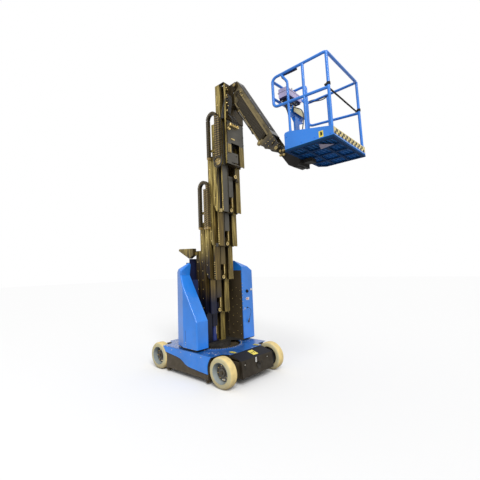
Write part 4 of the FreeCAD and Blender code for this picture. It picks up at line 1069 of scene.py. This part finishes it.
plate("head_tab", "mast_5", (FACE_X + 0.004, -0.062, 3.992), (0.008, 0.085, 0.024), FRONT, [(0.006, 0.003)], brass,
      0.002)
block = Piece("cube", (FACE_X + 0.008, -0.168, 3.805), (0.016, 0.082, 0.150))
block.facing(FRONT).inset(0.010, -0.004).inset(0.012).push((0.006, 0, 0))
block.soften(0.003).done("window_block", "mast_5", gold_block)
screws("window_block_bolts", "mast_5", HEX, 0.009,
       [(FACE_X + 0.018, -0.168, z) for z in (3.755, 3.855)], FRONT, brass)
screws("head_plate_bolts", "mast_5", HEX, 0.010,
       [(FACE_X, y, z) for y in (-0.225, 0.225) for z in (3.95, 4.10, 4.28)] +
       [(FACE_X, y, z) for y in (-0.235, 0.02) for z in (3.565, 3.695)], FRONT, bronze)
print("front face of the top section x", round(FACE_X, 4))

# %% Hoses over the pivot, brackets beside them, caps on both rails
for i, (dy, lift) in enumerate(((0.0, 0.0), (-0.022, 0.018), (0.022, -0.012), (0.044, 0.010))):
    hose(f"head_hose_{i + 1}", "mast_5",
         [(0.560 + 0.01 * i, -0.245 + 0.006 * i, 4.36), (0.600, -0.262 + 0.01 * i, 4.50 + lift),
          (0.655, -0.215 + dy, 4.66 + lift), (0.690, -0.175 + dy, 4.78 + lift), (0.700, -0.150 + dy, 4.70 + lift),
          (0.690, -0.160 + dy, 4.56), (0.675, -0.170 + dy, 4.44 + lift)], 0.009, plastic)
BRACKETS = ((-0.200, 4.86, 0.060), (-0.205, 4.72, 0.052), (0.200, 4.86, 0.060), (-0.190, 4.56, 0.044))
for i, (y, z, wide) in enumerate(BRACKETS):
    bracket = Piece("cube", (FACE_X + 0.016, y, z), (0.032, wide, 0.040))
    bracket.facing(FRONT).grow((1, 0.7, 0.6)).inset(0.005, -0.003)
    bracket.soften(0.003).done(f"head_bracket_{i + 1}", "mast_5", head_coat)
screws("head_bracket_bolts", "mast_5", HEX, 0.011, [(FACE_X + 0.031, y, z) for y, z, _ in BRACKETS], FRONT, brass)
low, high = SECTIONS[5]
for tag, side in SIDES:
    plate("rail_cap_" + tag, "mast_5", (high[0] - 0.058, side * 0.226, high[2] - 0.004), (0.112, 0.066, 0.016), UP,
          [(0.006, -0.004)], black, 0.002)
for name, side in (("head_cheek_bolts", -1), ("head_cheek_bolts_right", 1)):
    screws(name, "mast_5", HEX, 0.012, [(0.700, side * 0.2352, z) for z in (4.46, 4.60, 4.74, 4.88)], (0, side, 0),
           brass)
print("head dressed")

# %% [markdown]
# Small things repeat from section to section: a row of bolts up each cheek, and the guide pads' adjusters on the
# flanges. On the left the energy chains pass close by, so the heads there are flat ones, set flush.

# %% Bolts and adjusters up the mast
CHEEK_Y, FLUSH_Y = 0.2625, 0.2589
for i, (low, high) in enumerate(SECTIONS):
    top_one = i == 5
    front = FACE_X if top_one else high[0]
    first = low[2] + (0.40 if top_one else 0.12)
    heights = [first + 0.16 * k for k in range(9) if first + 0.16 * k < high[2] - 0.06]
    for tag, side, out, kind in (("left", -1, FLUSH_Y, PAN), ("right", 1, CHEEK_Y, HEX)):
        screws(f"cheek_bolts_{tag}_{i}", BODIES[i], kind, 0.0085,
               [(front - DEPTH - 0.052, side * out, z) for z in heights], (0, side, 0), brass)
    if not top_one:
        screws(f"pad_adjusters_{i}", BODIES[i], HEX, 0.010,
               [(front, y, high[2] - fall) for y in (-0.150, 0.150) for fall in (0.07, 0.20)], FRONT, brass)
print("bolts on", len(SECTIONS), "sections")

# %% [markdown]
# ## Jib
# The jib is a folded box with a long round-ended window in each flank. A hose chain lies in it on a tray, so its
# ribs show through the window, whose edge is rolled outward round the head end. The jib leans down steeply, so
# everything on it is placed with two numbers along its own axes: how far down from the pivot, and how far off its
# middle line.

# %% The jib's own axes
JIB_LEN = (KNUCKLE - JIB_PIVOT).length
BOX_END = JIB_LEN - 0.240
FLANK = 0.1


def on_jib(run, across, up):
    return JIB_PIVOT + JIB_RUN * run + Vector((0, across, 0)) + JIB_UP * up


def jib_frame(run, across, up):
    """Matrix whose X runs down the jib, Y across it and Z off its top face."""
    turn = Matrix((JIB_RUN, RIGHT, JIB_UP)).transposed().to_4x4()
    return Matrix.Translation(on_jib(run, across, up)) @ turn


print("jib", round(JIB_LEN, 3), "m long")

# %% Hose chain inside, rolled edge at the head of each window
PITCH, RIB_ON = 0.0315, 0.0157
SLANT = (0, radians(-24), 0)
CHAIN_Y, CHAIN_UP = -0.065, -0.054
runs = [0.166 + PITCH * i for i in range(34)]
jib_link = Piece("cube", (0, 0, 0), (0.029, 0.042, 0.106))
jib_link.facing(LEFT).inset(0.006, -0.005)
jib_link.soften(0.002, 1)
piece = jib_link.copies([jib_frame(u, CHAIN_Y, CHAIN_UP) for u in runs], "jib_chain_links", "jib", dark_chain)
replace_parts(piece, "jib_hose_chain")
jib_rib = Piece("cube", (0, 0, 0), (0.009, 0.047, 0.100), SLANT).soften(0.0015, 1)
jib_rib.copies([jib_frame(u + RIB_ON, CHAIN_Y, CHAIN_UP) for u in runs], "jib_chain_ribs", "jib", rib_brown)
for tag, side in SIDES:
    turns = [radians(80 + 20 * i) for i in range(11)]
    ring = [on_jib(0.170 + 0.053 * cos(a), side * 0.1005, -0.042 + 0.053 * sin(a)) for a in turns]
    hose("jib_window_edge_" + tag, "jib", ring, 0.0050, bronze, steps=3)

# %% [markdown]
# Down the flank runs the open channel in which the chain lies: a dark band as wide as a hand, ribbed aslant,
# between a folded lip below and a flat strip above, both gold as a painted highlight along the edges. It stands
# only
# 5 mm proud, so the cheeks of the head still pass.

# %% The channel along the flank
def strip(name, u_from, u_to, w_from, w_to, thick, finish, side, rounded=0.003):
    """A flat bar on one flank of the jib, from and to along it (u) and up from its middle line (w)."""
    place = jib_frame((u_from + u_to) / 2, side * (FLANK + thick / 2 - 0.0005), (w_from + w_to) / 2)
    plate(name, "jib", (0, 0, 0), (u_to - u_from, thick, w_to - w_from), (0, side, 0), [(rounded, 0.0004)], finish,
          places=[place])


rib = Piece("cube", (0, 0, 0), (0.010, 0.0026, 0.136), SLANT)
rib.across("y").inset(0.002, 0.0004, each=True)
rib_master = master(rib)
for tag, side in SIDES:
    strip("jib_channel_bed_" + tag, 0.300, 1.236, -0.162, -0.012, 0.0030, dark_chain, side)
    strip("jib_channel_lip_" + tag, 0.262, 1.250, -0.180, -0.162, 0.0055, edge_highlight_gold, side, 0.004)
    strip("jib_channel_top_" + tag, 0.215, 1.262, -0.013, 0.014, 0.0050, edge_highlight_gold, side, 0.006)
    spots = [jib_frame(0.335 + PITCH * i, side * 0.1037, -0.087) for i in range(28)]
    repeat(rib_master, spots, "jib_channel_ribs_" + tag, "jib", chain_plastic)
put_away(rib_master)
print("ribs in the channel", len(spots))

# %% Top plate, end plate, flange clips
plate("jib_top_plate", "jib", (0.62, 0, 0.0705), (1.16, 0.150, 0.006), UP,
      [(0.018, -0.002), (0.010, 0.002)], slate, 0.0015, [jib_frame(0, 0, 0)])
plate("jib_end_plate", "jib", (BOX_END - 0.004, 0, 0.030), (0.014, 0.196, 0.082), FRONT, [(0.010, -0.004)], black,
      0.002, [jib_frame(0, 0, 0)])
CLIP_RUNS = (0.42, 0.66, 0.90)
clip = Piece("cube", (0, 0, 0), (0.050, 0.010, 0.030))
clip.facing(DOWN).slide((0, -0.004, 0)).inset(0.004, -0.002)
clip_places = [jib_frame(u, side * 0.1045, -0.160) for u in CLIP_RUNS for side in (-1, 1)]
clip.soften(0.002).copies(clip_places, "jib_flange_clips", "jib", bronze)
line = Piece("cube", (0, 0, 0.0015), (1.20, 0.012, 0.003)).soften(0.0008, 1)
line.copies([jib_frame(0.60, -0.089, 0.0685), jib_frame(0.60, 0.004, 0.0725)], "jib_top_lines", "jib", black)
screws("jib_clip_bolts", "jib", HEX, 0.008, [on_jib(u, -0.109, -0.156) for u in CLIP_RUNS], LEFT, gold_block)
screws("jib_top_screws", "jib", PAN, 0.008,
       [on_jib(u, y, 0.0735) for u in (0.07, 0.45, 0.82, 1.17) for y in (-0.064, 0.064)], JIB_UP, steel)
print("windows and plates")

# %% Hooks that hold hoses at the window's head, and hoses that leave the chain
for i, (u, w) in enumerate(((0.205, 0.018), (0.290, 0.012))):
    hook = disc(on_jib(u, -0.106, w), 0.014, 0.016, 14, (QUARTER, 0, 0))
    hook.facing(LEFT).inset(0.004, 0.004).inset(0.004, -0.006)
    hook.soften(0.001).done(f"jib_hook_{i + 1}", "jib", gold_block)
bend = ((1.21, 0, -0.075), (1.30, 0, -0.080), (1.38, 0.01, -0.100), (1.44, 0.03, -0.085), (1.47, 0.045, -0.050))
for i, (across, lift) in enumerate(((-0.070, 0.0), (-0.045, 0.012), (-0.020, -0.010))):
    hose(f"jib_hose_{i + 1}", "jib", [on_jib(u, across + shift, up + lift) for u, shift, up in bend],
         0.009, plastic)
print("hoses leave the chain")

# %% [markdown]
# ### Knuckle
# Where the jib ends, a cluster of cheek plates, pins with keeper plates and grease fittings crowd together in
# bronze and black. Each pin end gets a cap, a keeper bar and two bolts.

# %% Pin caps, keepers and fittings
RAM_FOOT, RAM_EYE = Vector((0.712, 0, 4.600)), Vector((1.235, 0, 3.730))
cap = disc((0, 0, 0.004), 1.0, 0.3, 24)
cap.facing(UP).inset(0.16, 0.08).inset(0.30).push((0, 0, -0.10)).inset(0.18).push((0, 0, 0.2))
cap.soften(0.03)
cap_master = master(cap)


def cap_places(pins):
    """A cap on both ends of each pin: (middle of the pin, half its length, radius of the cap)."""
    return [facing(middle + Vector((0, side * half, 0)), (0, side, 0)) @ Matrix.Scale(radius, 4)
            for side in (-1, 1) for middle, half, radius in pins]


repeat(cap_master, cap_places([(KNUCKLE, 0.116, 0.030), (RAM_EYE, 0.111, 0.022)]), "jib_pin_caps", "jib",
       gold_block)
repeat(cap_master, cap_places([(JIB_PIVOT, 0.139, 0.028)]), "pivot_pin_caps", "jib", gold_block)
put_away(cap_master)
keeper = Piece("cube", (0, 0, 0.003), (0.084, 0.026, 0.008))
keeper.across("x").bevel(0.008, 2)
spots = [on_jib(JIB_LEN - back, side * 0.101, up)
         for back, up in ((0.115, -0.005), (0.02, 0.044)) for side in (-1, 1)]
keeper.copies([facing(p, RIGHT if p.y > 0 else LEFT, 0.7) for p in spots], "jib_keepers", "jib", bronze)
for tag, side in SIDES:
    bolts = [on_jib(JIB_LEN - 0.20, side * 0.1005, z) for z in (-0.10, -0.055, 0.0, 0.045)]
    bolts += [on_jib(JIB_LEN - 0.13, side * 0.1005, z) for z in (-0.085, 0.040)]
    bolts += [p + Vector((0, side * 0.008, 0)) for p in spots if (p.y > 0) == (side > 0)]
    screws("knuckle_bolts_" + tag, "jib", HEX, 0.0095, bolts, (0, side, 0), gold_block)
print("knuckle dressed")

# %% Levelling links on the carrier's flanks, just behind the knuckle
LINK_WAY = Vector((0.62, 0, -0.78)).normalized()
LUGS = ((0.098, 0.004, 0.010), (0.192, 0.004, 0.010), (0.150, -0.028, -0.018), (0.130, 0.040, 0.030))
bar = Piece("cube", (0, 0, 0), (0.126, 0.012, 0.036))
bar.across("x").bevel(0.012, 3)
bar.facing(LEFT).inset(0.005, 0.002)
bar_master = master(bar)
lug = disc((0, 0, 0.004), 0.021, 0.016, 20)
lug.facing(UP).inset(0.006, -0.003).inset(0.004, 0.006)
lug_master = master(lug)
for tag, side in SIDES:
    start = KNUCKLE + LINK_WAY * 0.145 + Vector((0.004, side * 0.0902, 0.010))
    repeat(bar_master, [Matrix.Translation(start) @ Matrix.Rotation(radians(51.5), 4, "Y")],
           "levelling_link_" + tag, "basket", bronze)
    lugs = [KNUCKLE + LINK_WAY * r + Vector((dx, side * 0.0962, dz)) for r, dx, dz in LUGS]
    repeat(lug_master, [facing(p, (0, side, 0)) for p in lugs], "levelling_lugs_" + tag, "basket", gold_block)
put_away(bar_master, lug_master)
print("levelling links")

# %% Cylinder: gland ring, hard pipe and ports
ram_way = (RAM_EYE - RAM_FOOT).normalized()


def beside_ram(run, out):
    return RAM_FOOT + ram_way * run + Vector((0, out, 0))


gland_ring = disc((0, 0, 0), 0.041, 0.030, 24)
gland_ring.facing(UP).inset(0.006, 0.003).inset(0.006, -0.003)
gland_ring.soften(0.0015).copies([facing(beside_ram(0.690, 0), ram_way)], "cylinder_gland", "jib_barrel", black)
pipe = ((0.14, 0.034), (0.15, 0.044), (0.40, 0.044), (0.63, 0.044), (0.65, 0.034))
for i, side in enumerate((1, -1)):
    hose(f"cylinder_pipe_{i + 1}", "jib_barrel", [beside_ram(run, side * out) for run, out in pipe], 0.006, steel)
    screws(f"cylinder_ports_{i + 1}", "jib_barrel", HEX, 0.012,
           [beside_ram(run, side * 0.033) for run in (0.14, 0.65)], (0, side, 0), brass)
print("cylinder dressed")

# %% [markdown]
# ## Charging lead
# A short lead hangs from its gland on the right cover, with its plug on the end. It is a cord: one
# smooth curve through the same route as the solid it replaces, out of the gland, down and back toward the cover.

# %% Lead, gland nut and plug
GLAND = Vector((FRONT_X + 0.014, 0.565, 1.012))
LEAD_MM = ((0, 0, 0), (24, 0, 0), (43, 8, -18), (48, 22, -46), (42, 36, -84), (30, 37, -124), (20, 24, -160),
           (15, 17, -192))
route = [GLAND + Vector(step) / 1000 for step in LEAD_MM]
lead = tube("charging_lead", route, 0.003, 4, 12)
lead.data.materials.append(plastic.material)
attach(lead, "turret")
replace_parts(lead, "plug_cable")
grip = disc((0, 0, 0.036), 0.0165, 0.070, 24)
grip.facing(DOWN).grow((0.42, 0.42, 1)).inset(0.001)
grip.facing(UP).inset(0.003, 0.002).inset(0.004).push((0, 0, -0.008))
grip.soften(0.001)
plug_piece = grip.copies([facing(route[-1], route[-1] - route[-2])], "charging_plug", "turret", plastic)
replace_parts(plug_piece, "plug")
nut = disc((0, 0, 0.003), 0.0135, 0.006, 6)
nut.facing(UP).inset(0.002).push((0, 0, 0.007)).grow((0.7, 0.7, 1)).inset(0.003)
nut.soften(0.0006)
nut_piece = nut.copies([facing((FRONT_X, GLAND.y, GLAND.z), FRONT)], "gland_nut", "turret", plastic)
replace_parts(nut_piece, "plug_gland")
print("lead from", tuple(round(v, 3) for v in GLAND), "to", tuple(round(v, 3) for v in route[-1]))

# %% [markdown]
# ## Basket
# Seen from below, the floor is a sheet of expanded metal on a frame of square tubes: many small slanting
# diamonds that let dirt fall through. One strand of a diamond is modelled and set out between the frame's bars.
# Round the floor run the kick plates, with a chequered warning band in front and a small label.

# %% Expanded metal under the floor
(X0, Y0, FLOOR_Z), (X1, Y1, _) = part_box("basket_floor")
STRAND_DX, STRAND_DY = 0.051, 0.036
strand = Piece("cube", (0, 0, 0), (0.060, 0.0045, 0.004), (0, radians(14), 0))
strand.pick(lambda place, normal: place.x > 0.01, "VERT").slide((0, 0.004, 0))
places = []
for j in range(int((Y1 - Y0 - 0.10) / STRAND_DY) + 1):
    y = Y0 + 0.05 + STRAND_DY * j
    for i in range(11):
        x = X0 + 0.075 + STRAND_DX * i
        # no strand under the front bar, nor past the cut corner
        if x > X1 - 0.06 or (x - X0) + (Y1 - y) < 0.135:
            continue
        for lean in (-1, 1):
            spin = Matrix.Rotation(radians(34 * lean), 4, "Z")
            places.append(Matrix.Translation((x, y + 0.009 * lean, FLOOR_Z + 0.023)) @ spin)
strand.copies(places, "floor_mesh", "basket", mesh_navy)
patch = disc((2.393, -0.333, FLOOR_Z - 0.0012), 0.115, 0.002, 3, (0, 0, radians(48)))
patch.facing(DOWN).inset(0.006, 0.0008).inset(0.010, -0.0006)
patch.done("floor_patch", "basket", lavender_dark)
print("mesh strands", len(places))

# %% Screws of the kick plates, the chequered band and the label
left_screws = [(X0 + 0.03, 3.335), (X0 + 0.03, 3.47), (X0 + 0.24, 3.335), (X0 + 0.42, 3.335), (X1 - 0.04, 3.325)]
screws("kick_screws_left", "basket", PAN, 0.008, [(x, Y0 - 0.0004, z) for x, z in left_screws], LEFT, blue)
screws("kick_screws_right", "basket", PAN, 0.008,
       [(x, Y1 + 0.0004, 3.33) for x in (X0 + 0.14, X0 + 0.34, X1 - 0.04)], RIGHT, blue)
plate("warning_band", "basket", (X1 + 0.0006, 0.000, 3.362), (0.0018, 1.044, 0.082), FRONT, [(0.003, -0.0005)],
      cream_yellow)
square = Piece("cube", (0, 0, 0), (0.0012, 0.050, 0.036))
square.facing(FRONT).inset(0.0015, 0.0003)
square.pick(lambda place, normal: place.z > 0, "VERT").slide((0, 0.012, 0))
squares = [(X1 + 0.0018, -0.485 + 0.1045 * i + 0.052 * row, 3.336 + 0.038 * row)
           for i in range(10) for row in (0, 1)]
square.copies([Matrix.Translation(p) for p in squares if p[1] < 0.5], "warning_band_dark", "basket", slate)
sticker("kick_label", "basket", (X1 - 0.155, Y0 - 0.0008, 3.352), LEFT, 0.058, 0.080, yellow,
        mark=(black, "figure"))

# %% Feet of the posts: gusset plates and collars welded on the floor
FLOOR_TOP = 3.301
left_y, right_y = Y0 + 0.025, Y1 - 0.025
POSTS = [Matrix.Translation((x, y, FLOOR_TOP)) for x, y in
         ((2.250, left_y), (2.5727, left_y), (2.018, left_y), (2.140, right_y), (2.5727, right_y))]
gusset = Piece("cube", (0, 0, 0.030), (0.062, 0.008, 0.060))
gusset.facing(UP).grow((0.45, 1, 1))
gusset.soften(0.002).copies(POSTS, "post_gussets", "basket", blue)
collar = disc((0, 0, 0.012), 0.025, 0.024, 20)
collar.facing(UP).inset(0.004, -0.003)
collar.copies(POSTS, "post_collars", "basket", blue)
print("posts", len(POSTS))

# %% [markdown]
# The control box hangs on the rear rails: a lavender case whose underside is a tray painted dark navy as painted
# shade, full of plugs, with levers, buttons and a red stop on its top. A cream label plate covers the sloping
# console below, cables run down beside it.

# %% Control box: tray, levers, buttons
(cx0, cy0, cz0), (cx1, cy1, cz1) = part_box("control_box")
mid_x, mid_y, wide_x, wide_y = (cx0 + cx1) / 2, (cy0 + cy1) / 2, cx1 - cx0, cy1 - cy0
# painted shade: the case's underside is a tray in dark navy
tray = Piece("cube", (mid_x, mid_y, cz0 + 0.014), (wide_x - 0.030, wide_y - 0.030, 0.040))
tray.facing(DOWN).inset(0.010, -0.010).grow((0.96, 0.98, 1))
tray.done("control_tray", "basket", navy)
plugs = [(cx0 + 0.035 + 0.045 * i, cy0 + 0.05 + 0.06 * j, cz0 - 0.004) for i in range(3) for j in range(5)]
screws("control_plugs", "basket", PAN, 0.010, plugs, DOWN, white)
for i, (dy, tall) in enumerate(((-0.10, 0.050), (0.02, 0.042), (0.10, 0.042))):
    lever = disc((mid_x + 0.03, mid_y + dy, cz1 + 0.008), 0.020, 0.016, 16)
    lever.facing(UP).inset(0.006).push((0, 0, 0.006)).inset(0.008).push((0, 0, tall - 0.02)).inset(-0.004)
    lever.push((0, 0, 0.014)).inset(0.003, 0.003)
    lever.soften(0.0012).done(f"control_lever_{i + 1}", "basket", plastic)
stop = disc((mid_x - 0.045, mid_y + 0.12, cz1 + 0.006), 0.022, 0.012, 24)
stop.facing(UP).inset(0.006).push((0, 0, 0.010)).inset(-0.006).push((0, 0, 0.008)).inset(0.006, 0.003)
stop.soften(0.0015).done("control_stop", "basket", red)
buttons = [(mid_x - 0.05, mid_y - 0.13 + 0.036 * i, cz1 - 0.0004) for i in range(6)]
screws("control_buttons", "basket", PAN, 0.008, buttons, UP, yellow)
plate("control_seam", "basket", (mid_x, mid_y, (cz0 + cz1) / 2 + 0.020),
      (wide_x + 0.004, wide_y + 0.004, 0.006), UP, [(0.004, 0.0)], lavender_dark)
print("control box", [round(v, 3) for v in (cx0, cy0, cz0, cx1, cy1, cz1)])

# %% Console label, cable bundle, grab bar
console_low, console_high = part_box("console_bracket")
label_at = (console_high[0] + 0.001, console_low[1] + 0.175, console_high[2] - 0.050)
plate("console_label", "basket", (0, 0, 0.0008), (0.325, 0.086, 0.0018), UP, [(0.006, -0.0005)], cream,
      places=[facing(label_at, FRONT)])
for i in range(4):
    hose(f"control_cable_{i + 1}", "basket",
         [(mid_x - 0.03 + 0.012 * i, cy0 + 0.05, cz0 + 0.004), (mid_x - 0.02 + 0.012 * i, cy0 + 0.01, cz0 - 0.06),
          (1.925 + 0.010 * i, -0.42 - 0.006 * i, 3.96), (1.985 + 0.008 * i, -0.455 - 0.008 * i, 3.80),
          (1.992 + 0.010 * i, -0.462 - 0.008 * i, 3.60), (1.985 + 0.008 * i, -0.45, 3.40), (2.00, -0.42, 3.310)],
         0.0065, plastic)
hose("console_cable", "basket",
     [(2.010, -0.37, 3.93), (2.06, -0.33, 3.92), (2.13, -0.31, 3.85), (2.12, -0.33, 3.62), (2.06, -0.36, 3.34)],
     0.007, plastic)
# painted shade: the grab bar is a blue rail tube painted navy for its shaded underside
hose("grab_bar", "basket",
     [(2.012, -0.482, 4.16), (2.012, -0.482, 4.24), (1.975, -0.48, 4.32), (1.925, -0.48, 4.375),
      (1.945, -0.48, 4.392), (2.04, -0.48, 4.385), (2.16, -0.482, 4.380)], 0.014, navy)
screws("cable_clips", "basket", HEX, 0.008, [(2.018, -0.503, z) for z in (3.45, 3.72, 3.98)], LEFT, steel)
for i, drop in enumerate((0.0, 0.028)):
    hose(f"rail_hose_{i + 1}", "basket",
         [(1.80, 0.478, 4.40), (1.87, 0.488, 4.42 - drop), (2.00, 0.492, 4.385 - drop),
          (2.10, 0.490, 4.375 - drop), (2.20, 0.486, 4.395)], 0.008, navy)
print("console dressed")
